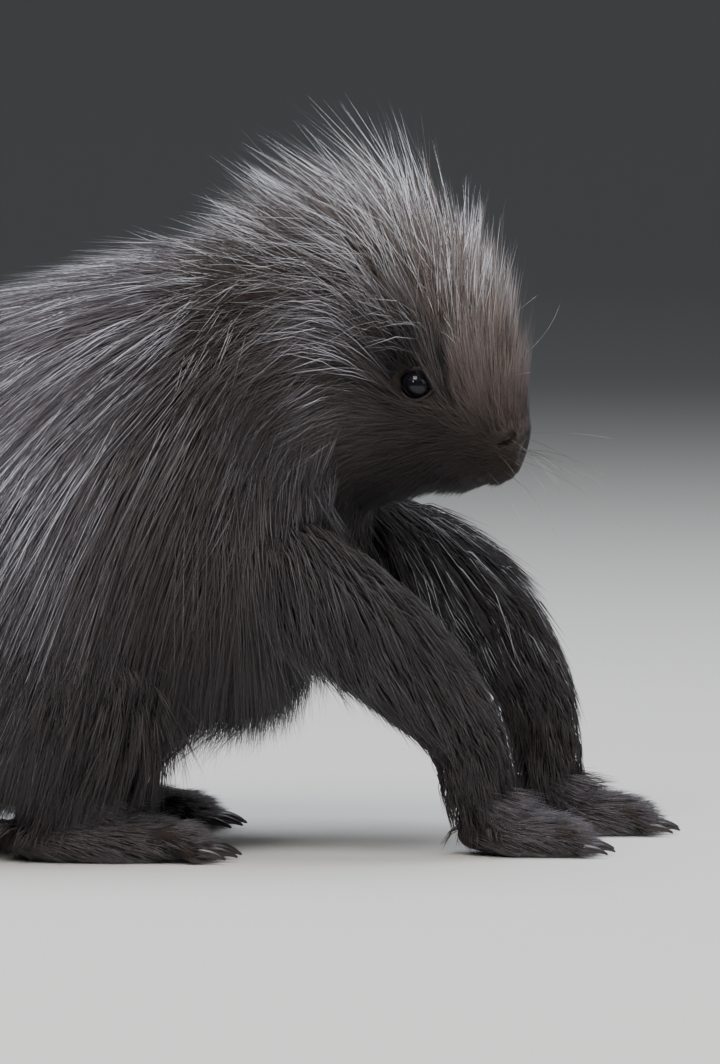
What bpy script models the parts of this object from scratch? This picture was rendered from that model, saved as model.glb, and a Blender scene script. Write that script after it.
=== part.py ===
"""A young North American porcupine, life size, standing as a museum shows one.

Metres, +Z up. The animal faces +X and its left side is +Y, with its head turned a little to its right.
One chain of rings runs from the nose to the tip of the tail. Head, neck, chest, rump and tail are
stretches of that chain. The legs, feet, claws, ears and eyes are pieces of their own. The long coat
stands on them as flat locks that follow its lie, with quills on the rump and tail.
"""

import math
import random

import bmesh
import bpy
import numpy as np
from mathutils import Matrix, Vector
from mathutils.bvhtree import BVHTree

for old in list(bpy.data.objects):
    bpy.data.objects.remove(old)

MM = 0.001
GAP = 0.3 * MM
rng = random.Random()

# Rings of the flesh, nose to tail tip: x, height of the middle, and how far the flesh reaches
# above, below and to each side of it, in mm. The next three are the depth of the coat over it, on
# top, at the side and below, and the last is how far behind their roots the tips of the hairs lie.
RINGS = np.array([
    (0.0, 135.0, 0.3, 0.3, 0.3, 1.5, 1.5, 1.5, 1.0),
    (-1.0, 135.3, 5.5, 6.0, 6.0, 1.5, 1.5, 2.0, 2.0),
    (-4.0, 136.2, 10.0, 10.5, 10.0, 4.0, 1.5, 3.0, 5.0),
    (-9.0, 137.7, 15.0, 14.0, 13.5, 14.0, 2.0, 5.0, 9.0),
    (-17.0, 140.1, 22.0, 17.0, 16.5, 31.0, 2.5, 7.0, 10.0),
    (-27.0, 143.0, 29.0, 20.0, 20.5, 38.0, 3.0, 8.0, 14.0),
    (-38.0, 146.2, 35.0, 23.5, 24.5, 41.0, 5.0, 9.0, 18.0),
    (-50.0, 149.8, 39.0, 27.0, 27.5, 46.0, 10.0, 11.0, 23.0),
    (-62.0, 151.5, 40.0, 30.0, 29.0, 56.0, 14.0, 13.0, 29.0),
    (-76.0, 149.0, 41.0, 35.0, 31.0, 48.0, 16.0, 15.0, 37.0),
    (-92.0, 143.5, 45.0, 43.0, 36.0, 33.0, 17.0, 16.0, 46.0),
    (-108.0, 136.5, 51.0, 50.0, 42.0, 26.0, 18.0, 16.0, 50.0),
    (-128.0, 127.0, 58.0, 56.0, 48.0, 21.0, 18.0, 16.0, 54.0),
    (-150.0, 116.0, 61.0, 61.0, 52.0, 20.0, 18.0, 15.0, 56.0),
    (-176.0, 102.5, 62.0, 61.0, 55.0, 21.0, 18.0, 13.0, 56.0),
    (-201.0, 88.5, 59.0, 56.0, 55.0, 22.0, 18.0, 11.0, 54.0),
    (-223.0, 74.5, 52.0, 48.0, 51.0, 22.0, 18.0, 9.0, 48.0),
    (-241.0, 59.5, 40.0, 36.0, 42.0, 20.0, 17.0, 7.0, 42.0),
    (-255.0, 44.5, 27.0, 24.0, 28.0, 17.0, 16.0, 5.0, 36.0),
    (-268.0, 33.0, 19.5, 18.0, 20.0, 14.0, 14.0, 4.0, 32.0),
    (-286.0, 23.5, 15.5, 15.0, 16.5, 13.0, 13.0, 4.0, 28.0),
    (-308.0, 18.5, 13.0, 12.5, 14.0, 12.0, 12.0, 4.0, 25.0),
    (-330.0, 16.0, 10.5, 11.0, 11.5, 11.0, 11.0, 4.0, 22.0),
    (-348.0, 15.0, 7.0, 8.0, 7.5, 10.0, 9.0, 4.0, 18.0),
    (-358.0, 14.5, 0.5, 0.5, 0.5, 9.0, 8.0, 4.0, 14.0),
]) * MM

HEAD_TURN = math.radians(-15)
TURN_PIVOT_X = -90 * MM
HEAD_END_X, NECK_END_X, CHEST_END_X, RUMP_END_X = (x * MM for x in (-78, -112, -174, -258))

EYE_RADIUS = 5.2 * MM
EYE_X, EYE_Z = -33.0 * MM, 157.8 * MM
EAR_X, EAR_Z = -64 * MM, 167 * MM
EAR_SIZE = tuple(v * MM for v in (6.5, 4.2, 8.0))

CORE = 0.5  # the share of the coat's depth that the solid core fills
TIP_RISE, TIP_FLARE = 0.06, 0.48  # how far past that depth the tips stand, on top and at the sides
HEAD_SIDES, BODY_SIDES = 22, 16


def hermite(knots, values):
    """A smooth curve through values at knots, each slope taken from its neighbours."""
    slopes = np.gradient(values, knots, axis=0)

    def at(t):
        t = np.clip(np.asarray(t, float), knots[0], knots[-1])
        i = np.clip(np.searchsorted(knots, t, side="right") - 1, 0, len(knots) - 2)
        width = (knots[i + 1] - knots[i])[..., None]
        u = (t - knots[i])[..., None] / width
        return (
            (2 * u**3 - 3 * u**2 + 1) * values[i]
            + (u**3 - 2 * u**2 + u) * width * slopes[i]
            + (3 * u**2 - 2 * u**3) * values[i + 1]
            + (u**3 - u**2) * width * slopes[i + 1]
        )

    return at


STEPS = np.hypot(*np.diff(RINGS[:, :2], axis=0).T)
KNOTS = np.concatenate([[0], np.cumsum(STEPS)])
ring_at = hermite(KNOTS, RINGS)


def station(x):
    """How far along the chain the ring at x lies."""
    return float(np.interp(-x, -RINGS[:, 0], KNOTS))


HEAD_END, NECK_END, CHEST_END, RUMP_END = map(
    station, (HEAD_END_X, NECK_END_X, CHEST_END_X, RUMP_END_X)
)
TAIL_TIP = float(KNOTS[-1])


def smoothstep(t):
    t = np.clip(t, 0, 1)
    return t * t * (3 - 2 * t)


def turned(points, s):
    """Turns points of ring s with the head: fully on the head, less along the neck."""
    share = smoothstep((NECK_END - s) / (NECK_END - HEAD_END))
    angle = HEAD_TURN * share
    x, y, z = np.moveaxis(np.asarray(points, float), -1, 0)
    x = x - TURN_PIVOT_X
    cos, sin = np.cos(angle), np.sin(angle)
    return np.stack([TURN_PIVOT_X + x * cos - y * sin, x * sin + y * cos, z], -1)


def body(s, angle, coat=0.0, extra=0.0):
    """The point of the body at distance s and angle round it, 0 on top and positive to the left.
    coat is the share of the coat's depth that lies over the flesh, and extra a plain thickness."""
    s, angle = np.broadcast_arrays(np.asarray(s, float), np.asarray(angle, float))
    x, z, up, down, side, top_coat, side_coat, low_coat = np.moveaxis(ring_at(s)[..., :8], -1, 0)
    ahead = ring_at(s + 1 * MM) - ring_at(s - 1 * MM)
    along = np.stack([ahead[..., 0], ahead[..., 1]], -1)
    along /= np.linalg.norm(along, axis=-1)[..., None]
    cos, sin = np.cos(angle), np.sin(angle)
    top = cos > 0
    height = np.where(top, up + coat * top_coat, down + coat * low_coat) + extra
    width = side + coat * side_coat + extra
    lift = cos * height
    points = np.stack([x + along[..., 1] * lift, sin * width, z - along[..., 0] * lift], -1)
    return turned(points, s)


def mesh_object(name, verts, faces):
    mesh = bpy.data.meshes.new(name)
    mesh.from_pydata([tuple(v) for v in verts], [], faces)
    mesh.validate()
    made = bpy.data.objects.new(name, mesh)
    bpy.context.scene.collection.objects.link(made)
    return made


def loft(name, rings):
    """A closed body through rings of points. A ring of one point closes an end; others get a flat cap."""
    verts, faces, starts = [], [], []
    for ring in rings:
        starts.append(len(verts))
        verts.extend(ring)
    for (a, ring_a), (b, ring_b) in zip(zip(starts, rings), zip(starts[1:], rings[1:])):
        n = max(len(ring_a), len(ring_b))
        for i in range(n):
            j = (i + 1) % n
            if len(ring_a) == 1:
                faces.append((a, b + j, b + i))
            elif len(ring_b) == 1:
                faces.append((a + i, a + j, b))
            else:
                faces.append((a + i, a + j, b + j))
                faces.append((a + i, b + j, b + i))
    if len(rings[0]) > 1:
        faces.append(tuple(starts[0] + i for i in reversed(range(len(rings[0])))))
    if len(rings[-1]) > 1:
        faces.append(tuple(starts[-1] + i for i in range(len(rings[-1]))))
    made = mesh_object(name, verts, faces)
    face_outwards(made)
    return made


def face_outwards(obj):
    work = bmesh.new()
    work.from_mesh(obj.data)
    bmesh.ops.recalc_face_normals(work, faces=work.faces)
    if work.calc_volume(signed=True) < 0:
        bmesh.ops.reverse_faces(work, faces=work.faces)
    work.to_mesh(obj.data)
    work.free()


def boolean(obj, operation, other=None, collection=None, solver="EXACT"):
    """Applies one Boolean to obj. Where EXACT leaves nothing, MANIFOLD takes its place."""
    modifier = obj.modifiers.new(operation.lower(), "BOOLEAN")
    modifier.operation = operation
    modifier.solver = solver
    if collection:
        modifier.operand_type = "COLLECTION"
        modifier.collection = collection
    else:
        modifier.object = other
    bpy.context.view_layer.update()
    graph = bpy.context.evaluated_depsgraph_get()
    made = bpy.data.meshes.new_from_object(obj.evaluated_get(graph))
    obj.modifiers.clear()
    if solver == "EXACT" and not made.polygons:
        boolean(obj, operation, other, collection, "MANIFOLD")
    else:
        obj.data = made


def join(obj, pieces, solver="EXACT"):
    """One closed body from obj and the closed pieces that grow from it."""
    group = bpy.data.collections.new(obj.name + "_pieces")
    bpy.context.scene.collection.children.link(group)
    for piece in pieces:
        bpy.context.scene.collection.objects.unlink(piece)
        group.objects.link(piece)
    boolean(obj, "UNION", collection=group, solver=solver)
    for piece in pieces:
        bpy.data.objects.remove(piece)
    bpy.data.collections.remove(group)


def cut(obj, cutter, solver="EXACT"):
    boolean(obj, "DIFFERENCE", other=cutter, solver=solver)
    bpy.data.objects.remove(cutter)


def keep_largest(obj):
    """Keeps the node's largest closed surface, which drops scraps and sealed hollows."""
    work = bmesh.new()
    work.from_mesh(obj.data)
    bmesh.ops.triangulate(work, faces=work.faces)
    left, largest = set(work.faces), []
    while left:
        stack, group = [left.pop()], []
        while stack:
            face = stack.pop()
            group.append(face)
            for edge in face.edges:
                if len(edge.link_faces) != 2:
                    continue
                for other in edge.link_faces:
                    if other in left:
                        left.discard(other)
                        stack.append(other)
        largest = max(largest, group, key=len)
    kept = set(largest)
    scraps = [face for face in work.faces if face not in kept]
    bmesh.ops.delete(work, geom=scraps, context="FACES")
    work.to_mesh(obj.data)
    work.free()


def mm(*values):
    return tuple(v * MM for v in values)


def material(name, colour, roughness):
    made = bpy.data.materials.new(name)
    made.use_nodes = True
    shader = made.node_tree.nodes["Principled BSDF"]
    shader.inputs["Base Color"].default_value = (*colour, 1)
    shader.inputs["Roughness"].default_value = roughness
    return made


COAT = material("coat", (0.060, 0.045, 0.040), 0.8)
FOOT = material("foot", (0.030, 0.024, 0.022), 0.8)
CLAW = material("claw", (0.020, 0.018, 0.018), 0.35)
EYE = material("eye", (0.006, 0.005, 0.005), 0.08)


def dress(obj, finish, angle=40):
    obj.data.materials.clear()
    obj.data.materials.append(finish)
    obj.data.shade_smooth()
    obj.data.set_sharp_from_angle(angle=math.radians(angle))


def body_rings(spots, coat, sides=BODY_SIDES):
    angles = 2 * math.pi * np.arange(sides) / sides
    return [[Vector(p) for p in body(s, angles, coat)] for s in spots]


def stretch(name, start, end, count):
    """A stretch of the body's core between two stations."""
    return loft(name, body_rings(np.linspace(start, end, count), CORE))


def nose_end(name, end, count):
    """The head's core, closed at the blunt nose."""
    near = mm(0.5, 2.5, 5.5)
    tip = Vector(body(0.0, 0.0)) + Vector(mm(1.2, 0, 0))
    spots = [*near, *np.linspace(10 * MM, end, count)]
    return loft(name, [[tip], *body_rings(spots, CORE, HEAD_SIDES)])


def tail_end(name, start, count):
    rings = body_rings(np.linspace(start, TAIL_TIP - 1 * MM, count), CORE)
    tip = sum(rings[-1], Vector()) / BODY_SIDES + Vector(mm(-4, 0, 0))
    return loft(name, [*rings, [tip]])


def on_head(x, y, z):
    """A point given on the head as if it looked straight ahead, turned with the head."""
    return Vector(turned(np.array([x, y, z]), 0.0))


def side_reach(x, z):
    """How far the flesh reaches sideways at x and height z on the head."""
    s = station(x)
    angles = np.linspace(0, math.pi, 181)
    heights = body(s, angles)[:, 2]
    return float(np.interp(-z, -heights, ring_at(s)[4] * np.sin(angles)))


def ball(name, centre, radius, scale=(1, 1, 1), segments=12, rings=7):
    work = bmesh.new()
    bmesh.ops.create_uvsphere(work, u_segments=segments, v_segments=rings, radius=radius)
    bmesh.ops.scale(work, vec=Vector(scale), verts=work.verts)
    bmesh.ops.translate(work, vec=centre, verts=work.verts)
    mesh = bpy.data.meshes.new(name)
    work.to_mesh(mesh)
    work.free()
    made = bpy.data.objects.new(name, mesh)
    bpy.context.scene.collection.objects.link(made)
    return made


def tube(name, path, radii, sides=6):
    """A closed tube along a few points, with flat ends."""
    rings = []
    for i, (point, radius) in enumerate(zip(path, radii)):
        ahead = Vector(path[min(i + 1, len(path) - 1)]) - Vector(path[max(i - 1, 0)])
        across = ahead.cross(Vector((0.3, 0.2, 1))).normalized()
        over = ahead.cross(across).normalized()
        turns = (2 * math.pi * k / sides for k in range(sides))
        rings.append([Vector(point) + (across * math.cos(a) + over * math.sin(a)) * radius for a in turns])
    return loft(name, rings)


def limb_rings(path, radii, sides, per_bone):
    """Rings of a limb along a smooth path through its joints."""
    path, radii = np.asarray(path, float), np.asarray(radii, float)
    knots = np.concatenate([[0], np.cumsum(np.linalg.norm(np.diff(path, axis=0), axis=1))])
    at = hermite(knots, np.column_stack([path, radii]))
    rings = []
    for spot in np.linspace(0, knots[-1], per_bone * (len(path) - 1) + 1):
        row = at(spot)
        ahead = Vector(at(spot + 0.5 * MM)[:3] - at(spot - 0.5 * MM)[:3]).normalized()
        across = Vector((0, 1, 0)).cross(ahead).normalized()
        over = ahead.cross(across)
        turns = (2 * math.pi * k / sides for k in range(sides))
        rings.append([
            Vector(row[:3]) + (across * math.cos(a) + over * math.sin(a)) * float(row[3]) for a in turns
        ])
    return rings


def round_end(ring, reach):
    """A short dome past a ring: a smaller ring, then a point."""
    middle = sum(ring, Vector()) / len(ring)
    return [[middle + (p - middle) * 0.66 + reach * 0.7 for p in ring], [middle + reach]]


def limb(name, path, radii, sides=12, grow=0.0, per_bone=2):
    """A closed limb with domed ends."""
    radii = np.asarray(radii, float) + grow
    rings = limb_rings(path, radii, sides, per_bone)
    first = Vector(path[0]) - Vector(path[1])
    last = Vector(path[-1]) - Vector(path[-2])
    before = round_end(rings[0], first.normalized() * float(radii[0]) * 0.8)
    after = round_end(rings[-1], last.normalized() * float(radii[-1]) * 0.8)
    return loft(name, [*reversed(before), *rings, *after])


# Joints of the legs, from the shoulder or hip down, and the leg's radius at each.
ARM_RADII = mm(16, 17.5, 16, 12.5, 11)
ARMS = {
    "right": [mm(-106, -27, 112), mm(-80, -37, 93), mm(-50, -39, 70), mm(-25, -36, 42), mm(-18, -34, 19)],
    "left": [mm(-94, 26, 112), mm(-60, 37, 101), mm(-22, 39, 83), mm(0, 36, 52), mm(7, 33, 19)],
}
FOREPAWS = {"right": mm(-16, -34, 0), "left": mm(9, 33, 0)}
THIGH, THIGH_RADII = [mm(-206, 26, 78), mm(-176, 38, 62), mm(-146, 44, 49)], mm(24, 25, 20)
SHANK, SHANK_RADII = [mm(-142, 47, 43), mm(-152, 49, 28), mm(-162, 50, 13)], mm(15.5, 14, 11)
HINDFOOT_AT = mm(-166, 50, 0)
HINDFOOT_LENGTH, FOREPAW_LENGTH = 62 * MM, 36 * MM


def mirrored(path, side):
    return [(x, y * side, z) for x, y, z in path]


def claw(name, root, heading, length, thick, longer=0.0):
    """A curved claw that leaves the toe forwards and hooks down to the floor."""
    side = heading.cross(Vector((0, 0, 1)))
    rings = []
    for t in (0, 0.3, 0.6, 0.85):
        middle = root + heading * (length * t) + Vector((0, 0, length * (0.16 * t - 0.34 * t * t)))
        middle = middle - heading * (longer if t == 0 else 0)
        size = thick * (1 - 0.75 * t)
        turns = (2 * math.pi * i / 5 + 0.3 for i in range(5))
        rings.append([
            middle + side * (math.cos(a) * size * 0.72) + Vector((0, 0, math.sin(a) * size)) for a in turns
        ])
    tip = root + heading * (length + longer) + Vector((0, 0, length * -0.18))
    return loft(name, [*rings, [tip]])


def floor_cutter():
    work = bmesh.new()
    bmesh.ops.create_cube(work, size=1.0)
    bmesh.ops.translate(work, vec=Vector((0, 0, -0.5)), verts=work.verts)
    mesh = bpy.data.meshes.new("floor_cutter")
    work.to_mesh(mesh)
    work.free()
    made = bpy.data.objects.new("floor_cutter", mesh)
    bpy.context.scene.collection.objects.link(made)
    return made


def foot(name, at, length, width, height, toes, toe_turn, claw_length):
    """A flat-soled foot on the floor with its toes, and its claws as pieces of their own."""
    x0, y0, _ = at
    spots = np.linspace(0, 1, 5)
    sole = [(x0 + (t * 0.72 - 0.06) * length, y0, height * (0.42 - 0.10 * t)) for t in spots]
    base = limb(name, sole, [width * w for w in (0.36, 0.45, 0.48, 0.50, 0.47)], 10, per_bone=1)
    for v in base.data.vertices:
        v.co.z = sole[0][2] + (v.co.z - sole[0][2]) * height / width
    pieces, claws, roots = [], [], []
    for i in range(toes):
        across = (i / (toes - 1) - 0.5) * 2
        reach = length * (0.30 - 0.07 * across**2)
        root = Vector((x0 + 0.60 * length, y0 + across * width * 0.36, height * 0.30))
        heading = Vector((math.cos(across * toe_turn), math.sin(across * toe_turn), 0))
        thick = width * 0.135
        bend = [root, root + heading * reach * 0.6 + Vector((0, 0, thick * 0.45)), root + heading * reach]
        bend[2].z = thick * 0.95
        pieces.append(limb(f"{name}_toe", bend, [thick * 1.05, thick, thick * 0.92], 5, per_bone=1))
        tip = bend[2] + heading * thick * 0.6
        claws.append(claw(f"{name}_claw_{i + 1}", tip, heading, claw_length, thick * 0.55))
        roots.append((tip, heading, thick * 0.55))
    join(base, pieces, "MANIFOLD")
    for tip, heading, thick in roots:
        cut(base, claw("clearance", tip, heading, claw_length, thick + GAP, GAP), "MANIFOLD")
    cut(base, floor_cutter(), "MANIFOLD")
    keep_largest(base)
    for piece in claws:
        dress(piece, CLAW)
    dress(base, FOOT)
    return base


def cone_out(name, centre, outward, radius, depth, mouth):
    """A bullet-shaped cutter: round behind the eye and widening out of the head in front of it."""
    outward = Vector(outward).normalized()
    across = outward.orthogonal().normalized()
    over = outward.cross(across)
    profile = [(-radius * math.cos(a), radius * math.sin(a)) for a in (0.55, 1.05, math.pi / 2)]
    profile += [(depth * 0.25, radius * 1.02), (depth, mouth)]
    rings = [[centre - outward * radius]]
    for along, size in profile:
        turns = (2 * math.pi * k / 11 for k in range(11))
        rings.append([
            centre + outward * along + (across * math.cos(a) + over * math.sin(a)) * size for a in turns
        ])
    return loft(name, rings)


def eyelids(centre, outward, upright):
    """A rim of lid round the eye, thickest above it and drawn out at both corners."""
    across = outward.cross(upright).normalized()
    over = across.cross(outward).normalized()
    rings = []
    for k in range(12):
        a = 2 * math.pi * k / 12
        corner = abs(math.cos(a)) ** 3
        radius = EYE_RADIUS * (0.93 + 0.16 * corner)
        thick = EYE_RADIUS * (0.24 + 0.10 * max(math.sin(a), 0))
        spoke = across * math.cos(a) + over * math.sin(a)
        middle = centre + spoke * radius + outward * (EYE_RADIUS * (0.34 - 0.22 * corner))
        turns = (2 * math.pi * j / 4 for j in range(4))
        rings.append([middle + (spoke * math.cos(b) + outward * math.sin(b)) * thick for b in turns])
    verts = [p for ring in rings for p in ring]
    faces = []
    for i in range(12):
        for j in range(4):
            a, b = i * 4 + j, i * 4 + (j + 1) % 4
            c, d = (i + 1) % 12 * 4 + (j + 1) % 4, (i + 1) % 12 * 4 + j
            faces.append((a, b, c, d))
    made = mesh_object("lids", verts, faces)
    face_outwards(made)
    return made


def face_of(head):
    """Cuts the line of the mouth, raises the lips beside it and opens the nostrils."""
    line = [(16, 127), (12, 138), (9.4, 153), (8.6, 170)]
    left = [body(s * MM, math.radians(a), CORE, 0.2 * MM) for s, a in line]
    right = [body(s * MM, math.radians(-a), CORE, 0.2 * MM) for s, a in reversed(line)]
    path = [Vector(p) for p in [*left, *right]]
    sizes = [0.5, 0.9, 1.1, 1.0]
    radii = [r * MM for r in [*sizes, *reversed(sizes)]]
    for shift, grow in ((1.9, 1.9), (-1.7, 1.5)):
        lip = [p + Vector(mm(-0.9, 0, shift)) for p in path[1:-1]]
        join(head, [tube("lip", lip, [r * grow for r in radii[1:-1]], 5)])
    cut(head, tube("mouth", path, radii, 5))
    for side in (-1, 1):
        inner = Vector(body(3.4 * MM, side * math.radians(66), CORE)) + Vector(mm(-2.4, 0, -0.4))
        outer = Vector(body(4.6 * MM, side * math.radians(82), CORE)) + Vector(mm(2.6, side * 1.4, 0.3))
        cut(head, tube("nostril", [inner, outer], mm(0.9, 1.6), 6))


def ear(name, side):
    """A small round ear, hollowed as a cup that opens forwards and outwards."""
    centre = on_head(EAR_X, side * (side_reach(EAR_X, EAR_Z) + 7.5 * MM), EAR_Z)
    made = ball(name, centre, 1.0, EAR_SIZE)
    cut(made, ball("hollow", centre + Vector(mm(3.4, side * 2.6, 1.6)), 1.0, mm(5.6, 3.6, 6.2)))
    dress(made, COAT)
    return made, cone_out("clearance", centre, (0.25, side, 0.15), 9.2 * MM, 12 * MM, 10 * MM)


def drift(s, angle):
    """How far round the body a hair's tip hangs from its root, towards the belly."""
    places = [station(x * MM) for x in (0, -40, -70, -100, -130, -180, -230, -270, -350)]
    hang = np.interp(s, places, (0.10, 0.18, 0.42, 0.62, 0.66, 0.52, 0.42, 0.25, 0.10))
    return hang * np.sin(angle)


def lie(s, angle, t, lift=0.0):
    """A point of the hair rooted at s and angle: t runs from 0 at the core's surface to 1 at its tip.
    lift bends the hair outwards along its length."""
    sweep = ring_at(s)[..., 8] * (1 + 0.3 * np.sin(angle) ** 2)
    past = TIP_RISE + (TIP_FLARE - TIP_RISE) * np.sin(angle) ** 2
    depth = CORE + (1 - CORE) * t**0.75 + past * t**2 + lift * math.sin(2.4 * t)
    return body(s + sweep * t**1.25, angle + drift(s, angle) * t, depth)


LIMBS = []


def clear_of_limbs(point, margin):
    """Moves a point out of the legs, so that the coat drapes over them."""
    point = Vector(point)
    for path, radii in LIMBS:
        for a, b, ra, rb in zip(path, path[1:], radii, radii[1:]):
            a, b = Vector(a), Vector(b)
            u = min(max((point - a).dot(b - a) / (b - a).length_squared, 0), 1)
            near, radius = a.lerp(b, u), ra + (rb - ra) * u + margin
            away = point - near
            if away.length < radius:
                point = near + away.normalized() * radius
    return point


def blade(name, middles, normal, widths, thicks, sink):
    """A flat tapered blade: a ridge above two edges at each middle, a point at the last, and a root
    that goes on into the flesh by sink."""
    rings = []
    for i in range(len(middles) - 1):
        ahead = (middles[i + 1] - middles[max(i - 1, 0)]).normalized()
        over = (normal - ahead * normal.dot(ahead)).normalized()
        across = ahead.cross(over) * (widths[i] / 2)
        edge = over * (-0.35 * thicks[i])
        ridge = over * (0.65 * thicks[i])
        rings.append([middles[i] - across + edge, middles[i] + ridge, middles[i] + across + edge])
    return loft(name, [[p + sink for p in rings[0]], *rings, [middles[-1]]])


def standing(s, angle):
    """The direction straight out of the body at s and angle."""
    return Vector(body(s, angle, 0.9) - body(s, angle, 0.3)).normalized()


def lock(s, angle, width, thick, length, lift, twist):
    """One lock of the long coat, along the lie from the station s and angle. twist turns its flat
    about its own line, as the standing locks of the crest face every way."""
    middles = [Vector(lie(s, angle, t * length, lift)) for t in (0.03, 0.34, 0.7, 1.0)]
    middles[1:] = [clear_of_limbs(p, thick * 1.1 + GAP) for p in middles[1:]]
    for p in middles:
        p.z = max(p.z, 1.5 * MM)
    out = standing(s, angle)
    facing = Matrix.Rotation(twist, 3, (middles[2] - middles[0]).normalized()) @ out
    return blade("lock", middles, facing, [width * w for w in (0.75, 1.0, 0.78)],
                 [thick * h for h in (1.0, 1.0, 0.7)], out * (-5 * MM))


def quill(s, angle, length):
    """One stiff quill, straighter and steeper than the hair round it."""
    middles = [Vector(lie(s, angle, t * length, t * 0.2)) for t in (0.03, 0.75)]
    middles[1].z = max(middles[1].z, 1 * MM)
    normal = standing(s, angle)
    return blade("quill", middles, normal, mm(1.8), mm(1.6), normal * (-4 * MM))


def tree_of(obj):
    return BVHTree.FromPolygons([v.co for v in obj.data.vertices], [p.vertices for p in obj.data.polygons])


def grown(obj, by):
    """The object's surface moved out a little, as a tree for touching tests."""
    verts = [v.co + v.normal * by for v in obj.data.vertices]
    return BVHTree.FromPolygons(verts, [p.vertices for p in obj.data.polygons])


def place(make, others):
    """Makes a lock, lifted and then shortened until it clears every other node, or none."""
    for share, lift in ((1.0, 0.0), (1.0, 0.14), (0.85, 0.22), (0.66, 0.3)):
        made = make(share, lift)
        shape = grown(made, 0.5 * MM)
        if not any(shape.overlap(tree) for tree in others):
            return made
        bpy.data.objects.remove(made)
    return None


def coat_rows(start, end, row, width, count_at, low=math.pi):
    """Roots of locks in staggered rows between two stations: station and angle of each."""
    spots = np.linspace(start, end, max(2, round((end - start) / row) + 1))
    roots = []
    for k, s in enumerate(spots):
        count = count_at(s)
        for i in range(count):
            angle = 2 * math.pi * (i + 0.5 * (k % 2) + rng.uniform(-0.2, 0.2)) / count
            angle = (angle + math.pi) % (2 * math.pi) - math.pi
            if abs(angle) < low:
                roots.append((min(max(s + rng.uniform(-0.15, 0.15) * row, start), end), angle))
    return roots


def inside_limb(s, angle):
    point = Vector(body(s, angle, CORE))
    return (clear_of_limbs(point, 1.5 * MM) - point).length > 0


def grow_coat(obj, plan, others):
    """Stands locks on a stretch of the body in rows, with quills among them where the plan has any."""
    def count_at(s):
        points = body(s, np.linspace(0, 2 * math.pi, 49), CORE)
        return max(5, round(float(np.linalg.norm(np.diff(points, axis=0), axis=1).sum()) / plan["across"]))

    rng.seed(plan["seed"])
    start, end = plan["from"], plan["to"]
    pieces = []
    for s, angle in coat_rows(start, end, plan["row"], plan["across"], count_at, math.radians(plan["low"])):
        if inside_limb(s, angle):
            continue
        width, length = plan["across"] * rng.uniform(0.84, 1.0), rng.uniform(0.9, 1.06)
        twist = rng.choice((-1, 1)) * rng.uniform(0.5, 1.3) * plan["twist"] * max(math.cos(angle), 0)
        pieces.append(place(lambda share, lift: lock(
            s, angle, width, plan["thick"], length * share, lift, twist), others))
    for _ in range(plan["quills"]):
        s, angle = rng.uniform(start, end), rng.uniform(-1.5, 1.5)
        length = rng.uniform(0.7, 1.0)
        pieces.append(place(lambda share, lift: quill(s, angle, length * share), others))
    pieces = [piece for piece in pieces if piece]
    join(obj, pieces, "MANIFOLD")
    keep_largest(obj)
    dress(obj, COAT)


def limb_spot(path, radii, u):
    """Middle, direction and radius of a limb at the share u of its length."""
    points = [Vector(p) for p in path]
    lengths = [(b - a).length for a, b in zip(points, points[1:])]
    far = u * sum(lengths)
    for a, b, ra, rb, length in zip(points, points[1:], radii, radii[1:], lengths):
        if far <= length:
            return a.lerp(b, far / length), (b - a).normalized(), ra + (rb - ra) * far / length
        far -= length
    return points[-1], (points[-1] - points[-2]).normalized(), radii[-1]


def limb_lock(path, radii, u, turn, side, length, width, thick, lift):
    """One lock on a leg: turn is 0 on its outer side and positive towards its back."""
    middle, along, radius = limb_spot(path, radii, u)
    outer = (Vector((0, side, 0)) - along * (along.y * side)).normalized()
    back = outer.cross(along) * side
    normal = outer * math.cos(turn) + back * math.sin(turn)
    heading = (along * 0.9 + normal * (0.36 + lift) + back * 0.35 + Vector((0, 0, -0.25))).normalized()
    first = middle + normal * (radius + 0.3 * MM)
    second = first + heading * length * 0.35
    third = second + heading * length * 0.33
    tip = third + (heading + Vector((0, 0, -0.35))).normalized() * length * 0.32
    middles = [first, second, third, tip]
    for p in middles:
        p.z = max(p.z, 2 * MM)
    return blade("lock", middles, normal, [width * w for w in (0.75, 1.0, 0.75)],
                 [thick * h for h in (1.0, 1.0, 0.7)], normal * (-4 * MM))


def grow_limb_coat(obj, legs, side, others):
    """Locks in staggered rows down a leg. legs lists path, radii, first and last share, and lengths."""
    pieces = []
    for path, radii, first, last, long, short, rows in legs:
        for k in range(rows):
            u = first + (last - first) * k / max(rows - 1, 1)
            length = (long + (short - long) * k / max(rows - 1, 1)) * rng.uniform(0.9, 1.1)
            for i in range(4):
                turn = math.radians(-95 + 72 * i + 36 * (k % 2) + rng.uniform(-8, 8))
                pieces.append(place(lambda share, lift: limb_lock(
                    path, radii, u, turn, side, length * share, 16 * MM, 2.4 * MM, lift), others))
    pieces = [piece for piece in pieces if piece]
    join(obj, pieces, "MANIFOLD")
    keep_largest(obj)
    dress(obj, COAT)


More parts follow.
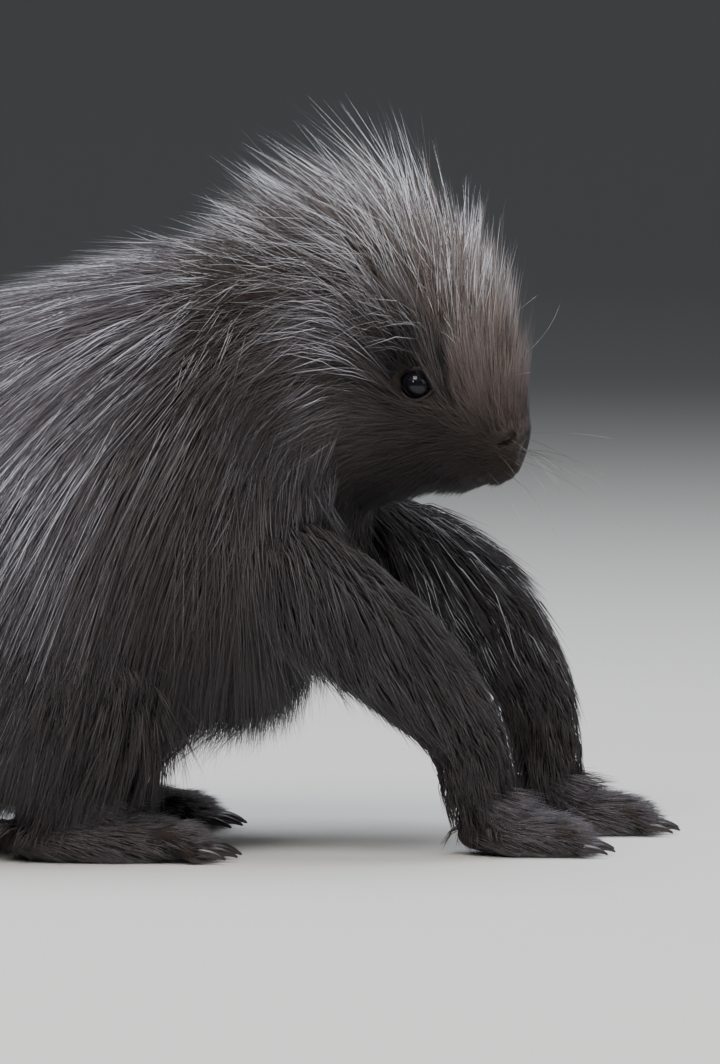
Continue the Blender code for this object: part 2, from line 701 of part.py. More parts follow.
def build():
    half = GAP / 2
    head = nose_end("head", HEAD_END - half, 10)
    neck = stretch("neck", HEAD_END + half, NECK_END - half, 4)
    chest = stretch("chest", NECK_END + half, CHEST_END - half, 6)
    rump = stretch("rump", CHEST_END + half, RUMP_END - half, 9)
    tail = tail_end("tail", RUMP_END + half, 8)
    trunk = [head, neck, chest, rump, tail]
    limbs, legs = [], []
    for name, side in (("right", -1), ("left", 1)):
        arm = limb(f"foreleg_{name}", ARMS[name], ARM_RADII)
        LIMBS.append((ARMS[name], ARM_RADII))
        thigh, shank = mirrored(THIGH, side), mirrored(SHANK, side)
        hind = limb(f"hindleg_{name}", thigh, THIGH_RADII)
        join(hind, [limb("shank", shank, SHANK_RADII)])
        LIMBS.extend([(thigh, THIGH_RADII), (shank, SHANK_RADII)])
        for node in trunk[:3]:
            cut(node, limb("clearance", ARMS[name], ARM_RADII, grow=GAP))
        for node in trunk[2:4]:
            cut(node, limb("clearance", thigh, THIGH_RADII, grow=GAP))
            cut(node, limb("clearance", shank, SHANK_RADII, grow=GAP))
        paw = foot(f"forepaw_{name}", FOREPAWS[name], FOREPAW_LENGTH, 24 * MM, 17 * MM, 4,
                   math.radians(16), 9 * MM)
        cut(paw, limb("clearance", ARMS[name], ARM_RADII, grow=GAP), "MANIFOLD")
        x, y, z = HINDFOOT_AT
        hindfoot = foot(f"hindfoot_{name}", (x, y * side, z), HINDFOOT_LENGTH, 28 * MM, 18 * MM, 5,
                        math.radians(14), 10 * MM)
        cut(hindfoot, limb("clearance", shank, SHANK_RADII, grow=GAP), "MANIFOLD")
        limbs.extend([arm, hind, paw, hindfoot])
        legs.append((arm, side, [(ARMS[name], ARM_RADII, 0.24, 0.90, 34 * MM, 15 * MM, 4)]))
        legs.append((hind, side, [(thigh, THIGH_RADII, 0.55, 0.95, 24 * MM, 18 * MM, 2),
                                  (shank, SHANK_RADII, 0.25, 0.85, 16 * MM, 12 * MM, 2)]))
    cut(tail, floor_cutter())
    for name, side in (("right", -1), ("left", 1)):
        middle = on_head(EYE_X, side * (side_reach(EYE_X, EYE_Z) - 1.6 * MM), EYE_Z)
        outward = on_head(0, side, 0.12) - on_head(0, 0, 0)
        join(head, [eyelids(middle, outward.normalized(), Vector((0.1, 0, 1)))])
        cut(head, cone_out("socket", middle, outward, EYE_RADIUS + 2 * GAP, 9 * MM, 6.8 * MM))
        eye = ball(f"eye_{name}", middle, EYE_RADIUS)
        dress(eye, EYE)
        made, clearance = ear(f"ear_{name}", side)
        cut(head, clearance)
        limbs.extend([eye, made])
    face_of(head)
    for node in trunk:
        keep_largest(node)
    cores = {node.name: tree_of(node) for node in trunk}
    fixed = [tree_of(node) for node in limbs]
    plans = {
        "head": dict(start=station(-14 * MM), end=HEAD_END, row=14, across=12, thick=2.0, low=125,
                     twist=1.0, quills=0, seed=1),
        "neck": dict(start=HEAD_END, end=NECK_END, row=15, across=18, thick=2.3, low=180,
                     twist=0.5, quills=0, seed=1),
        "chest": dict(start=NECK_END, end=CHEST_END, row=23, across=26, thick=2.4, low=180,
                      twist=0.2, quills=0, seed=1),
        "rump": dict(start=CHEST_END, end=RUMP_END, row=25, across=27, thick=2.4, low=160,
                     twist=0.2, quills=16, seed=6),
        "tail": dict(start=RUMP_END, end=TAIL_TIP - 9 * MM, row=22, across=18, thick=2.0, low=140,
                     twist=0.0, quills=10, seed=1),
    }
    done = []
    for node in trunk:
        plan = plans[node.name]
        for key in ("row", "across", "thick"):
            plan[key] *= MM
        inset = 2 * MM + 0.2 * plan["across"]
        plan["from"], plan["to"] = plan["start"] + inset, plan["end"] - inset
        rest = [tree for name, tree in cores.items() if name != node.name]
        grow_coat(node, plan, [*fixed, *rest, *done])
        done.append(tree_of(node))
    for seed, (node, side, parts) in enumerate(legs):
        rng.seed(seed + 10)
        rest = [tree_of(other) for other in limbs if other is not node]
        grow_limb_coat(node, parts, side, [*rest, *done])


def set_origin_under_the_middle():
    """Moves everything so that the origin is at the floor, under the middle of the whole."""
    corners = np.array([v.co for o in bpy.data.objects for v in o.data.vertices])
    low, high = corners.min(0), corners.max(0)
    shift = Matrix.Translation(Vector((-(low[0] + high[0]) / 2, -(low[1] + high[1]) / 2, 0)))
    for obj in bpy.data.objects:
        obj.data.transform(shift)


build()
set_origin_under_the_middle()
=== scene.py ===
"""A young North American porcupine as a still, life-size model, dressed over its CAD frame.

One skin takes the place of the flesh, and the coat stands on it in tufts of solid hair, region by
region. Eyes, lids, claws, quills and whiskers are pieces of their own. Metres, +Z up, facing +X.
"""

import math

import bmesh
import bpy
import numpy as np
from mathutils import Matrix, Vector


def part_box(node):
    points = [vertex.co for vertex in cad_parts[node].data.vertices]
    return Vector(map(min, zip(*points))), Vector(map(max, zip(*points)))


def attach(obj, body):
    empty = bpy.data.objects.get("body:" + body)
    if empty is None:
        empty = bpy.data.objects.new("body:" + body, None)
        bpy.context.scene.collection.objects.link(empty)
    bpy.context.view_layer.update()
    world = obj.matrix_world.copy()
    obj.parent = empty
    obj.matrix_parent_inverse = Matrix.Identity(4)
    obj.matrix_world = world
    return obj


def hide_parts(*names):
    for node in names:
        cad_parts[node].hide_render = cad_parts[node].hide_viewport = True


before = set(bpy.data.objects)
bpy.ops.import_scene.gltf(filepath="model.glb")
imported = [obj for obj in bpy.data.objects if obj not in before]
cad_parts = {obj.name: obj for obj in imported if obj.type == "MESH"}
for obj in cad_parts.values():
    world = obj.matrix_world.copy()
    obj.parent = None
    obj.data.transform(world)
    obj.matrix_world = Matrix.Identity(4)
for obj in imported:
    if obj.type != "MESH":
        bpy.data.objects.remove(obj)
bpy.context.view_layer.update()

# The build of the body: flesh from the nose to the tip of the tail as a chain of rings, with the
# depth of the coat over it. The same sizes shape the solids of the frame.
MM = 0.001

# x, height of the middle, flesh above, below and beside it, then the coat's depth on top, at the
# side and below, and how far behind their roots the tips of the hairs lie, all in mm.
RINGS = np.array([
    (0.0, 135.0, 0.3, 0.3, 0.3, 1.5, 1.5, 1.5, 1.0),
    (-1.0, 135.3, 5.5, 6.0, 6.0, 1.5, 1.5, 2.0, 2.0),
    (-4.0, 136.2, 10.0, 10.5, 10.0, 4.0, 1.5, 3.0, 5.0),
    (-9.0, 137.7, 15.0, 14.0, 13.5, 14.0, 2.0, 5.0, 9.0),
    (-17.0, 140.1, 22.0, 17.0, 16.5, 31.0, 2.5, 7.0, 10.0),
    (-27.0, 143.0, 29.0, 20.0, 20.5, 38.0, 3.0, 8.0, 14.0),
    (-38.0, 146.2, 35.0, 23.5, 24.5, 41.0, 5.0, 9.0, 18.0),
    (-50.0, 149.8, 39.0, 27.0, 27.5, 46.0, 10.0, 11.0, 23.0),
    (-62.0, 151.5, 40.0, 30.0, 29.0, 56.0, 14.0, 13.0, 29.0),
    (-76.0, 149.0, 41.0, 35.0, 31.0, 48.0, 16.0, 15.0, 37.0),
    (-92.0, 143.5, 45.0, 43.0, 36.0, 33.0, 17.0, 16.0, 46.0),
    (-108.0, 136.5, 51.0, 50.0, 42.0, 26.0, 18.0, 16.0, 50.0),
    (-128.0, 127.0, 58.0, 56.0, 48.0, 21.0, 18.0, 16.0, 54.0),
    (-150.0, 116.0, 61.0, 61.0, 52.0, 20.0, 18.0, 15.0, 56.0),
    (-176.0, 102.5, 62.0, 61.0, 55.0, 21.0, 18.0, 13.0, 56.0),
    (-201.0, 88.5, 59.0, 56.0, 55.0, 22.0, 18.0, 11.0, 54.0),
    (-223.0, 74.5, 52.0, 48.0, 51.0, 22.0, 18.0, 9.0, 48.0),
    (-241.0, 59.5, 40.0, 36.0, 42.0, 20.0, 17.0, 7.0, 42.0),
    (-255.0, 44.5, 27.0, 24.0, 28.0, 17.0, 16.0, 5.0, 36.0),
    (-268.0, 33.0, 19.5, 18.0, 20.0, 14.0, 14.0, 4.0, 32.0),
    (-286.0, 23.5, 15.5, 15.0, 16.5, 13.0, 13.0, 4.0, 28.0),
    (-308.0, 18.5, 13.0, 12.5, 14.0, 12.0, 12.0, 4.0, 25.0),
    (-330.0, 16.0, 10.5, 11.0, 11.5, 11.0, 11.0, 4.0, 22.0),
    (-348.0, 15.0, 7.0, 8.0, 7.5, 10.0, 9.0, 4.0, 18.0),
    (-358.0, 14.5, 0.5, 0.5, 0.5, 9.0, 8.0, 4.0, 14.0),
]) * MM
HEAD_TURN = math.radians(-15)
TURN_PIVOT_X, HEAD_END_X, NECK_END_X = (x * MM for x in (-90, -78, -112))
EYE_RADIUS = 5.2 * MM
EYE_X, EYE_Z = -33.0 * MM, 157.8 * MM
EAR_X, EAR_Z = -64 * MM, 167 * MM


def hermite(knots, values):
    """A smooth curve through values at knots, each slope taken from its neighbours."""
    slopes = np.gradient(values, knots, axis=0)

    def at(t):
        t = np.clip(np.asarray(t, float), knots[0], knots[-1])
        i = np.clip(np.searchsorted(knots, t, side="right") - 1, 0, len(knots) - 2)
        width = (knots[i + 1] - knots[i])[..., None]
        u = (t - knots[i])[..., None] / width
        return (
            (2 * u**3 - 3 * u**2 + 1) * values[i]
            + (u**3 - 2 * u**2 + u) * width * slopes[i]
            + (3 * u**2 - 2 * u**3) * values[i + 1]
            + (u**3 - u**2) * width * slopes[i + 1]
        )

    return at


KNOTS = np.concatenate([[0], np.cumsum(np.hypot(*np.diff(RINGS[:, :2], axis=0).T))])
ring_at = hermite(KNOTS, RINGS)
TAIL_TIP = float(KNOTS[-1])


def station(x_mm):
    """How far along the chain the ring at x lies."""
    return float(np.interp(-x_mm * MM, -RINGS[:, 0], KNOTS))


def smoothstep(t):
    t = np.clip(t, 0, 1)
    return t * t * (3 - 2 * t)


def turned(points, s):
    """Turns points of ring s with the head: fully on the head, less along the neck."""
    head_end, neck_end = station(HEAD_END_X / MM), station(NECK_END_X / MM)
    turn = HEAD_TURN * smoothstep((neck_end - s) / (neck_end - head_end))
    x, y, z = np.moveaxis(np.asarray(points, float), -1, 0)
    x = x - TURN_PIVOT_X
    cos, sin = np.cos(turn), np.sin(turn)
    return np.stack([TURN_PIVOT_X + x * cos - y * sin, x * sin + y * cos, z], -1)


def body(s, angle, coat=0.0):
    """The point at distance s along the body and angle round it, 0 on top and positive to the
    left, with the share coat of the coat's depth over the flesh."""
    s, angle, coat = np.broadcast_arrays(np.asarray(s, float), angle, coat)
    x, z, up, down, side, top_coat, side_coat, low_coat = np.moveaxis(ring_at(s)[..., :8], -1, 0)
    ahead = ring_at(s + 1 * MM)[..., :2] - ring_at(s - 1 * MM)[..., :2]
    ahead /= np.linalg.norm(ahead, axis=-1)[..., None]
    cos, sin = np.cos(angle), np.sin(angle)
    lift = cos * np.where(cos > 0, up + coat * top_coat, down + coat * low_coat)
    points = np.stack([x + ahead[..., 1] * lift, sin * (side + coat * side_coat), z - ahead[..., 0] * lift], -1)
    return turned(points, s)


def on_head(x, y, z):
    """A point given as if the head looked straight ahead, turned with the head."""
    return turned(np.array([x, y, z], float), 0.0)


def side_reach(x, z):
    """How far the flesh of the head reaches sideways at x and height z."""
    s = station(x / MM)
    angles = np.linspace(0, math.pi, 181)
    return float(np.interp(-z, -body(s, angles)[:, 2], ring_at(s)[4] * np.sin(angles)))


EYES = {side: on_head(EYE_X, side * (side_reach(EYE_X, EYE_Z) - 1.6 * MM), EYE_Z) for side in (-1, 1)}
low, high = (np.array(corner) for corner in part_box("eye_right"))
SHIFT = (low + high) / 2 - EYES[-1]
SHIFT[2] = 0.0

# Skin of a young porcupine: one closed surface over head, trunk, tail, legs and feet, thin and dark,
# almost bare only at the nose, lips, lids and soles.
ARM_RADII = np.array((16, 17.5, 16, 12.5, 11)) * MM
ARMS = {
    -1: np.array([(-106, -27, 112), (-80, -37, 93), (-50, -39, 70), (-25, -36, 42), (-18, -34, 19)]) * MM,
    1: np.array([(-94, 26, 112), (-60, 37, 101), (-22, 39, 83), (0, 36, 52), (7, 33, 19)]) * MM,
}
FOREPAWS = {-1: (-16 * MM, -34 * MM), 1: (9 * MM, 33 * MM)}
THIGH, THIGH_RADII = np.array([(-206, 26, 78), (-176, 38, 62), (-146, 44, 49)]) * MM, np.array((24, 25, 20)) * MM
SHANK, SHANK_RADII = np.array([(-142, 47, 43), (-152, 49, 28), (-162, 50, 13)]) * MM, np.array((15.5, 14, 11)) * MM
HINDFEET = {-1: (-166 * MM, -50 * MM), 1: (-166 * MM, 50 * MM)}
FOREPAW = dict(length=36 * MM, width=24 * MM, height=17 * MM, toes=4, spread=math.radians(16), claw=9 * MM)
HINDFOOT = dict(length=62 * MM, width=28 * MM, height=18 * MM, toes=5, spread=math.radians(14), claw=10 * MM)
SKIN_UNDER = 1.6 * MM  # how far the legs' skin lies under the solids' surface
VOXEL = 1.25 * MM


def node(nodes, links, kind, settings=None, **sockets):
    """Adds a shader node. settings are its own properties, sockets its inputs by name: a value,
    or another node's output to link."""
    made = nodes.new(kind)
    for key, value in (settings or {}).items():
        setattr(made, key, value)
    for name, value in sockets.items():
        names = {socket.name.replace(" ", "_"): socket for socket in reversed(made.inputs)}
        names.update({f"in{i}": socket for i, socket in enumerate(made.inputs)})
        if isinstance(value, bpy.types.NodeSocket):
            links.new(value, names[name])
        else:
            names[name].default_value = value
    return made


def linear(hex_colour):
    """An sRGB hex colour as linear RGBA."""
    parts = [int(hex_colour[i:i + 2], 16) / 255 for i in (1, 3, 5)]
    return (*[c / 12.92 if c <= 0.04045 else ((c + 0.055) / 1.055) ** 2.4 for c in parts], 1.0)


def new_material(name, roughness, **settings):
    """A material with its nodes, links and Principled shader, and constants set on the shader."""
    made = bpy.data.materials.new(name)
    made.use_nodes = True
    shader = made.node_tree.nodes["Principled BSDF"]
    shader.inputs["Roughness"].default_value = roughness
    for key, value in settings.items():
        shader.inputs[key.replace("_", " ")].default_value = value
    return made, made.node_tree.nodes, made.node_tree.links, shader


def add_piece(name, mesh, finish, smooth=True):
    """A finished piece that rides on the model."""
    mesh.materials.append(finish)
    mesh.polygons.foreach_set("use_smooth", np.full(len(mesh.polygons), smooth))
    made = bpy.data.objects.new(name, mesh)
    bpy.context.scene.collection.objects.link(made)
    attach(made, "root")
    return made


def loft(rings):
    """Vertices and faces of a closed body through rings of points. A ring of one point is an end."""
    verts, faces, starts = [], [], []
    for ring in rings:
        starts.append(len(verts))
        verts.extend(ring)
    for (a, ring_a), (b, ring_b) in zip(zip(starts, rings), zip(starts[1:], rings[1:])):
        n = max(len(ring_a), len(ring_b))
        for i in range(n):
            j = (i + 1) % n
            if len(ring_a) == 1:
                faces.append((a, b + j, b + i))
            elif len(ring_b) == 1:
                faces.append((a + i, a + j, b))
            else:
                faces.append((a + i, a + j, b + j, b + i))
    if len(rings[0]) > 1:
        faces.append(tuple(starts[0] + i for i in reversed(range(len(rings[0])))))
    if len(rings[-1]) > 1:
        faces.append(tuple(starts[-1] + i for i in range(len(rings[-1]))))
    return verts, faces


def limb_rings(path, radii, count, sides=28):
    """Rings of a limb along a smooth path through its joints, with domed ends."""
    path = np.asarray(path, float)
    knots = np.concatenate([[0], np.cumsum(np.linalg.norm(np.diff(path, axis=0), axis=1))])
    at = hermite(knots, np.column_stack([path, radii]))
    turns = 2 * math.pi * np.arange(sides) / sides
    rings = []
    for spot in np.linspace(0, knots[-1], count):
        row = at(spot)
        ahead = at(spot + 0.5 * MM)[:3] - at(spot - 0.5 * MM)[:3]
        ahead /= np.linalg.norm(ahead)
        across = np.cross((0, 1, 0), ahead)
        across /= np.linalg.norm(across)
        over = np.cross(ahead, across)
        spokes = np.cos(turns)[:, None] * across + np.sin(turns)[:, None] * over
        rings.append((row[:3], ahead, spokes, row[3]))
    made = []
    for sign, (middle, ahead, spokes, radius) in ((-1, rings[0]), (1, rings[-1])):
        dome = [[middle + ahead * sign * radius * math.sin(a) + p * radius * math.cos(a) for p in spokes]
                for a in (1.2, 0.8, 0.4)]
        pole = [[middle + ahead * sign * radius]]
        made.append([*pole, *dome] if sign < 0 else [*reversed(dome), *pole])
    tube = [[middle + p * radius for p in spokes] for middle, _, spokes, radius in rings]
    return [*made[0], *tube, *made[1]]


def foot_parts(at, length, width, height, toes, spread, claw):
    """The rings of a foot's sole and toes, and where each claw leaves its toe."""
    x0, y0 = at
    spots = np.linspace(0, 1, 5)
    sole = [(x0 + (t * 0.60 - 0.06) * length, y0, height * (0.42 - 0.10 * t)) for t in spots]
    rings = limb_rings(sole, width * np.array((0.36, 0.45, 0.48, 0.50, 0.47)) - 0.4 * MM, 12)
    base = [[np.array((p[0], p[1], sole[0][2] + (p[2] - sole[0][2]) * height / width)) for p in ring]
            for ring in rings]
    made, tips = [base], []
    for i in range(toes):
        across = (i / (toes - 1) - 0.5) * 2
        reach = length * (0.30 - 0.07 * across**2)
        root = np.array((x0 + 0.60 * length, y0 + across * width * 0.36, height * 0.30))
        heading = np.array((math.cos(across * spread), math.sin(across * spread), 0))
        thick = width * 0.135
        bend = np.array([root, root + heading * reach * 0.5 + (0, 0, thick * 1.1), root + heading * reach])
        bend[2][2] = thick * 0.95
        made.append(limb_rings(bend, np.array((thick, thick * 0.9, thick * 0.84)), 8, 16))
        tips.append((bend[2] + heading * thick * 0.6, heading, thick * 0.55))
    return made, tips


def ball_rings(centre, size, count=14, sides=24):
    """Rings of an ellipsoid."""
    rings = [[centre + (0, 0, size[2])]]
    for a in np.linspace(0, math.pi, count)[1:-1]:
        turns = 2 * math.pi * np.arange(sides) / sides
        rings.append([centre + (math.sin(a) * math.cos(b) * size[0], math.sin(a) * math.sin(b) * size[1],
                                math.cos(a) * size[2]) for b in turns])
    return [*rings, [centre - (0, 0, size[2])]]


turns = 2 * math.pi * np.arange(64) / 64
trunk = [body(s, turns) for s in [*np.array((0.6, 2, 4, 6.5)) * MM, *np.linspace(9 * MM, TAIL_TIP - 1 * MM, 110)]]
solids = [[[body(0.0, 0.0) + (0.8 * MM, 0, 0)], *trunk, [trunk[-1].mean(0) - (3 * MM, 0, 0)]]]
claws = []
for side, name in ((-1, "right"), (1, "left")):
    mirror = (1, side, 1)
    solids.append(limb_rings(ARMS[side], ARM_RADII - SKIN_UNDER, 24))
    solids.append(limb_rings(THIGH * mirror, THIGH_RADII - SKIN_UNDER, 12))
    solids.append(limb_rings(SHANK * mirror, SHANK_RADII - SKIN_UNDER, 12))
    for kind, at, sizes in (("forepaw", FOREPAWS[side], FOREPAW), ("hindfoot", HINDFEET[side], HINDFOOT)):
        parts, tips = foot_parts(at, **sizes)
        solids.extend(parts)
        claws.extend((f"{kind}_{name}_claw_{i + 1}", *tip, sizes["claw"]) for i, tip in enumerate(tips))
    ear_centre = on_head(EAR_X, side * (side_reach(EAR_X, EAR_Z) + 6.5 * MM), EAR_Z)
    solids.append(ball_rings(ear_centre, np.array((6.3, 4.0, 7.8)) * MM))
raw = bpy.data.meshes.new("skin_solids")
verts, faces = [], []
for rings in solids:
    more_verts, more_faces = loft(rings)
    faces.extend(tuple(i + len(verts) for i in face) for face in more_faces)
    verts.extend(more_verts)
raw.from_pydata([tuple(np.asarray(v) + SHIFT) for v in verts], [], faces)
work = bmesh.new()
work.from_mesh(raw)
bmesh.ops.recalc_face_normals(work, faces=work.faces)
work.to_mesh(raw)
work.free()
source = bpy.data.objects.new("skin_solids", raw)
bpy.context.scene.collection.objects.link(source)
remesh = source.modifiers.new("one_surface", "REMESH")
remesh.mode = "VOXEL"
remesh.voxel_size = VOXEL
soften = source.modifiers.new("soften", "SMOOTH")
soften.factor = 0.5
soften.iterations = 6
bpy.context.view_layer.update()
skin_mesh = bpy.data.meshes.new_from_object(source.evaluated_get(bpy.context.evaluated_depsgraph_get()))
bpy.data.objects.remove(source)


def numbers(items, key, width):
    """One property of every item of a mesh as an array."""
    values = np.empty(len(items) * width)
    items.foreach_get(key, values)
    return values.reshape(-1, width)


def off_path(points, path):
    """How far each point lies from a path."""
    near = np.full(len(points), 9.0)
    for a, b in zip(path, path[1:]):
        ab = b - a
        u = np.clip((points - a) @ ab / (ab @ ab), 0, 1)
        near = np.minimum(near, np.linalg.norm(points - a - u[:, None] * ab, axis=1))
    return near


def groove(points, normals, path, depth, width):
    """Presses a soft groove into the skin along a path of points."""
    near = off_path(points, path)
    return points - normals * (depth * np.exp(-((near / width) ** 2)))[:, None]


NOSTRIL, nostrils = [(3.0, 64), (4.2, 76), (6.2, 86)], []
MOUTH = [(21, 122), (16, 128), (12, 139), (9.8, 153), (9.2, 166), (9.2, 180)]
places = numbers(skin_mesh.vertices, "co", 3) - SHIFT
normals = numbers(skin_mesh.vertex_normals, "vector", 3)
half_mouth = [body(s * MM, math.radians(a)) for s, a in MOUTH]
mouth = [*half_mouth, *[body(s * MM, -math.radians(a)) for s, a in reversed(MOUTH)]]
places = groove(places, normals, [p + (-1.2 * MM, 0, 1.9 * MM) for p in mouth], -1.1 * MM, 2.4 * MM)
places = groove(places, normals, [p + (-0.6 * MM, 0, -1.8 * MM) for p in mouth], -0.9 * MM, 2.0 * MM)
places = groove(places, normals, mouth, 2.6 * MM, 1.1 * MM)
for side in (-1, 1):
    slit = [body(s * MM, side * math.radians(a)) for s, a in NOSTRIL]
    nostrils.append(slit)
    places = groove(places, normals, slit, 2.6 * MM, 1.2 * MM)
    places = groove(places, normals, [p + (0, side * 0.5 * MM, 2.3 * MM) for p in slit], -0.8 * MM, 1.8 * MM)
    away = places - EYES[side]
    far = np.linalg.norm(away, axis=1)
    sunk = far < EYE_RADIUS + 4.5 * MM
    out = on_head(0, side, 0.12) - on_head(0, 0, 0)
    out /= np.linalg.norm(out)
    forward = away @ out
    ring = np.linalg.norm(away - forward[:, None] * out, axis=1)
    inside = sunk & (ring < EYE_RADIUS * 0.98) & (forward > -EYE_RADIUS)
    places[inside] -= out * (forward[inside] + 0.5 * EYE_RADIUS)[:, None].clip(0, 1)
    ear_centre = on_head(EAR_X, side * (side_reach(EAR_X, EAR_Z) + 6.5 * MM), EAR_Z)
    cup = np.linalg.norm((places - ear_centre - np.array((3.2, side * 3.2, 1.4)) * MM)
                         / np.array((5.0, 3.4, 5.8)) / MM, axis=1)
    places -= normals * (2.6 * MM * (1 - smoothstep(cup)))[:, None]
places[:, 2] = np.maximum(places[:, 2], 0.25 * MM)
skin_mesh.vertices.foreach_set("co", (places + SHIFT).ravel())
skin_mesh.update()

# Black-brown skin, matt and finely creased as living skin is, with the colour of the coat's roots
# showing through on the body: a fine grain and a slow change of tone.
skin_finish, nodes, links, shader = new_material("dark_skin_and_down", 0.8, Specular_IOR_Level=0.25)
place = node(nodes, links, "ShaderNodeTexCoord").outputs["Object"]
tone = node(nodes, links, "ShaderNodeTexNoise", Vector=place, Scale=1 / (16 * MM), Detail=4.0).outputs["Fac"]
down = node(nodes, links, "ShaderNodeTexNoise", Vector=place, Scale=1 / (0.9 * MM), Detail=3.0).outputs["Fac"]
colour = node(nodes, links, "ShaderNodeValToRGB", Fac=tone)
colour.color_ramp.elements[0].position, colour.color_ramp.elements[1].position = 0.3, 0.75
colour.color_ramp.elements[0].color = linear("#171312")
colour.color_ramp.elements[1].color = linear("#342b27")
links.new(colour.outputs["Color"], shader.inputs["Base Color"])
bump = node(nodes, links, "ShaderNodeBump", Height=down, Strength=0.5, Distance=0.0006)
links.new(bump.outputs["Normal"], shader.inputs["Normal"])
thinned = bpy.data.objects.new("skin_thinned", skin_mesh)
bpy.context.scene.collection.objects.link(thinned)
thin = thinned.modifiers.new("thin", "DECIMATE")
thin.ratio = 0.42
bpy.context.view_layer.update()
light_mesh = bpy.data.meshes.new_from_object(thinned.evaluated_get(bpy.context.evaluated_depsgraph_get()))
bpy.data.objects.remove(thinned)
skin = add_piece("skin", light_mesh, skin_finish)
FLESH = ["head", "neck", "chest", "rump", "tail"]
FLESH += [f"{kind}_{side}" for kind in ("foreleg", "hindleg", "forepaw", "hindfoot", "ear") for side in ("left", "right")]
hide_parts(*FLESH)

# Eyes: large dark wet balls, set deep, each with a clear cornea over a black-brown iris, held by
# thick dark lids with a thin paler rim below.
eye_finish, nodes, links, shader = new_material(
    "wet_black_eye", 0.05, IOR=1.38, Coat_Weight=0.2, Coat_Roughness=0.02, Specular_IOR_Level=0.3)
place = node(nodes, links, "ShaderNodeTexCoord").outputs["Object"]
fleck = node(nodes, links, "ShaderNodeTexNoise", Vector=place, Scale=1 / (1.1 * MM), Detail=3.0).outputs["Fac"]
iris = node(nodes, links, "ShaderNodeValToRGB", Fac=fleck)
iris.color_ramp.elements[0].color = linear("#0b0a0f")
iris.color_ramp.elements[1].color = linear("#1a1a24")
links.new(iris.outputs["Color"], shader.inputs["Base Color"])
lid_finish, nodes, links, shader = new_material("bare_lid_skin", 0.5, Specular_IOR_Level=0.35)
place = node(nodes, links, "ShaderNodeTexCoord").outputs["Object"]
crease = node(nodes, links, "ShaderNodeTexNoise", Vector=place, Scale=1 / (0.7 * MM), Detail=2.0).outputs["Fac"]
rim = node(nodes, links, "ShaderNodeAttribute", {"attribute_name": "rim"}).outputs["Fac"]
lid_colour = node(nodes, links, "ShaderNodeMix", {"data_type": "RGBA"}, in0=rim, in6=linear("#191513"),
                  in7=linear("#b3aca5"))
links.new(lid_colour.outputs["Result"] if "Result" in lid_colour.outputs else lid_colour.outputs[2],
          shader.inputs["Base Color"])
bump = node(nodes, links, "ShaderNodeBump", Height=crease, Strength=0.35, Distance=0.0003)
links.new(bump.outputs["Normal"], shader.inputs["Normal"])
for side, name in ((-1, "right"), (1, "left")):
    work = bmesh.new()
    bmesh.ops.create_uvsphere(work, u_segments=48, v_segments=32, radius=EYE_RADIUS)
    bmesh.ops.translate(work, vec=Vector(EYES[side] + SHIFT), verts=work.verts)
    mesh = bpy.data.meshes.new(f"eyeball_{name}")
    work.to_mesh(mesh)
    work.free()
    eyeball = add_piece(f"eyeball_{name}", mesh, eye_finish)
    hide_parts(f"eye_{name}")
    out = on_head(0, side, 0.12) - on_head(0, 0, 0)
    out /= np.linalg.norm(out)
    across = np.cross(out, (0.1, 0, 1))
    across /= np.linalg.norm(across)
    over = np.cross(across, out)
    rings, rims = [], []
    for a in 2 * math.pi * np.arange(48) / 48:
        corner = abs(math.cos(a)) ** 3
        radius = EYE_RADIUS * (1.01 + 0.14 * corner)
        thick = EYE_RADIUS * (0.15 + 0.08 * max(math.sin(a), 0))
        spoke = across * math.cos(a) + over * math.sin(a)
        middle = EYES[side] + spoke * radius + out * (EYE_RADIUS * (0.30 - 0.20 * corner))
        for b in 2 * math.pi * np.arange(12) / 12:
            rings.append(middle + (spoke * math.cos(b) + out * math.sin(b)) * thick)
            rims.append(max(-math.sin(a), 0) ** 0.5 * max(-math.cos(b - 0.9), 0) ** 2)
    verts = [tuple(p + SHIFT) for p in rings]
    faces = [(i * 12 + j, i * 12 + (j + 1) % 12, (i + 1) % 48 * 12 + (j + 1) % 12, (i + 1) % 48 * 12 + j)
             for i in range(48) for j in range(12)]
    mesh = bpy.data.meshes.new(f"lids_{name}")
    mesh.from_pydata(verts, [], faces)
    mesh.attributes.new("rim", "FLOAT", "POINT").data.foreach_set("value", np.array(rims, np.float32))
    work = bmesh.new()
    work.from_mesh(mesh)
    bmesh.ops.recalc_face_normals(work, faces=work.faces)
    work.to_mesh(mesh)
    work.free()
    add_piece(f"lids_{name}", mesh, lid_finish)

# Claws: long curved keratin, blackish brown and smooth, paler and a little worn along the ridge.
claw_finish, nodes, links, shader = new_material("dark_keratin", 0.32, Coat_Weight=0.2, IOR=1.54)
place = node(nodes, links, "ShaderNodeTexCoord").outputs["Object"]
grain = node(nodes, links, "ShaderNodeMapping", Vector=place, Scale=(1.0, 6.0, 6.0)).outputs["Vector"]
streak = node(nodes, links, "ShaderNodeTexNoise", Vector=grain, Scale=1 / (2.5 * MM), Detail=3.0).outputs["Fac"]
horn = node(nodes, links, "ShaderNodeValToRGB", Fac=streak)
horn.color_ramp.elements[0].position, horn.color_ramp.elements[1].position = 0.3, 0.8
horn.color_ramp.elements[0].color = linear("#131010")
horn.color_ramp.elements[1].color = linear("#332b27")
links.new(horn.outputs["Color"], shader.inputs["Base Color"])
bump = node(nodes, links, "ShaderNodeBump", Height=streak, Strength=0.25, Distance=0.0002)
links.new(bump.outputs["Normal"], shader.inputs["Normal"])
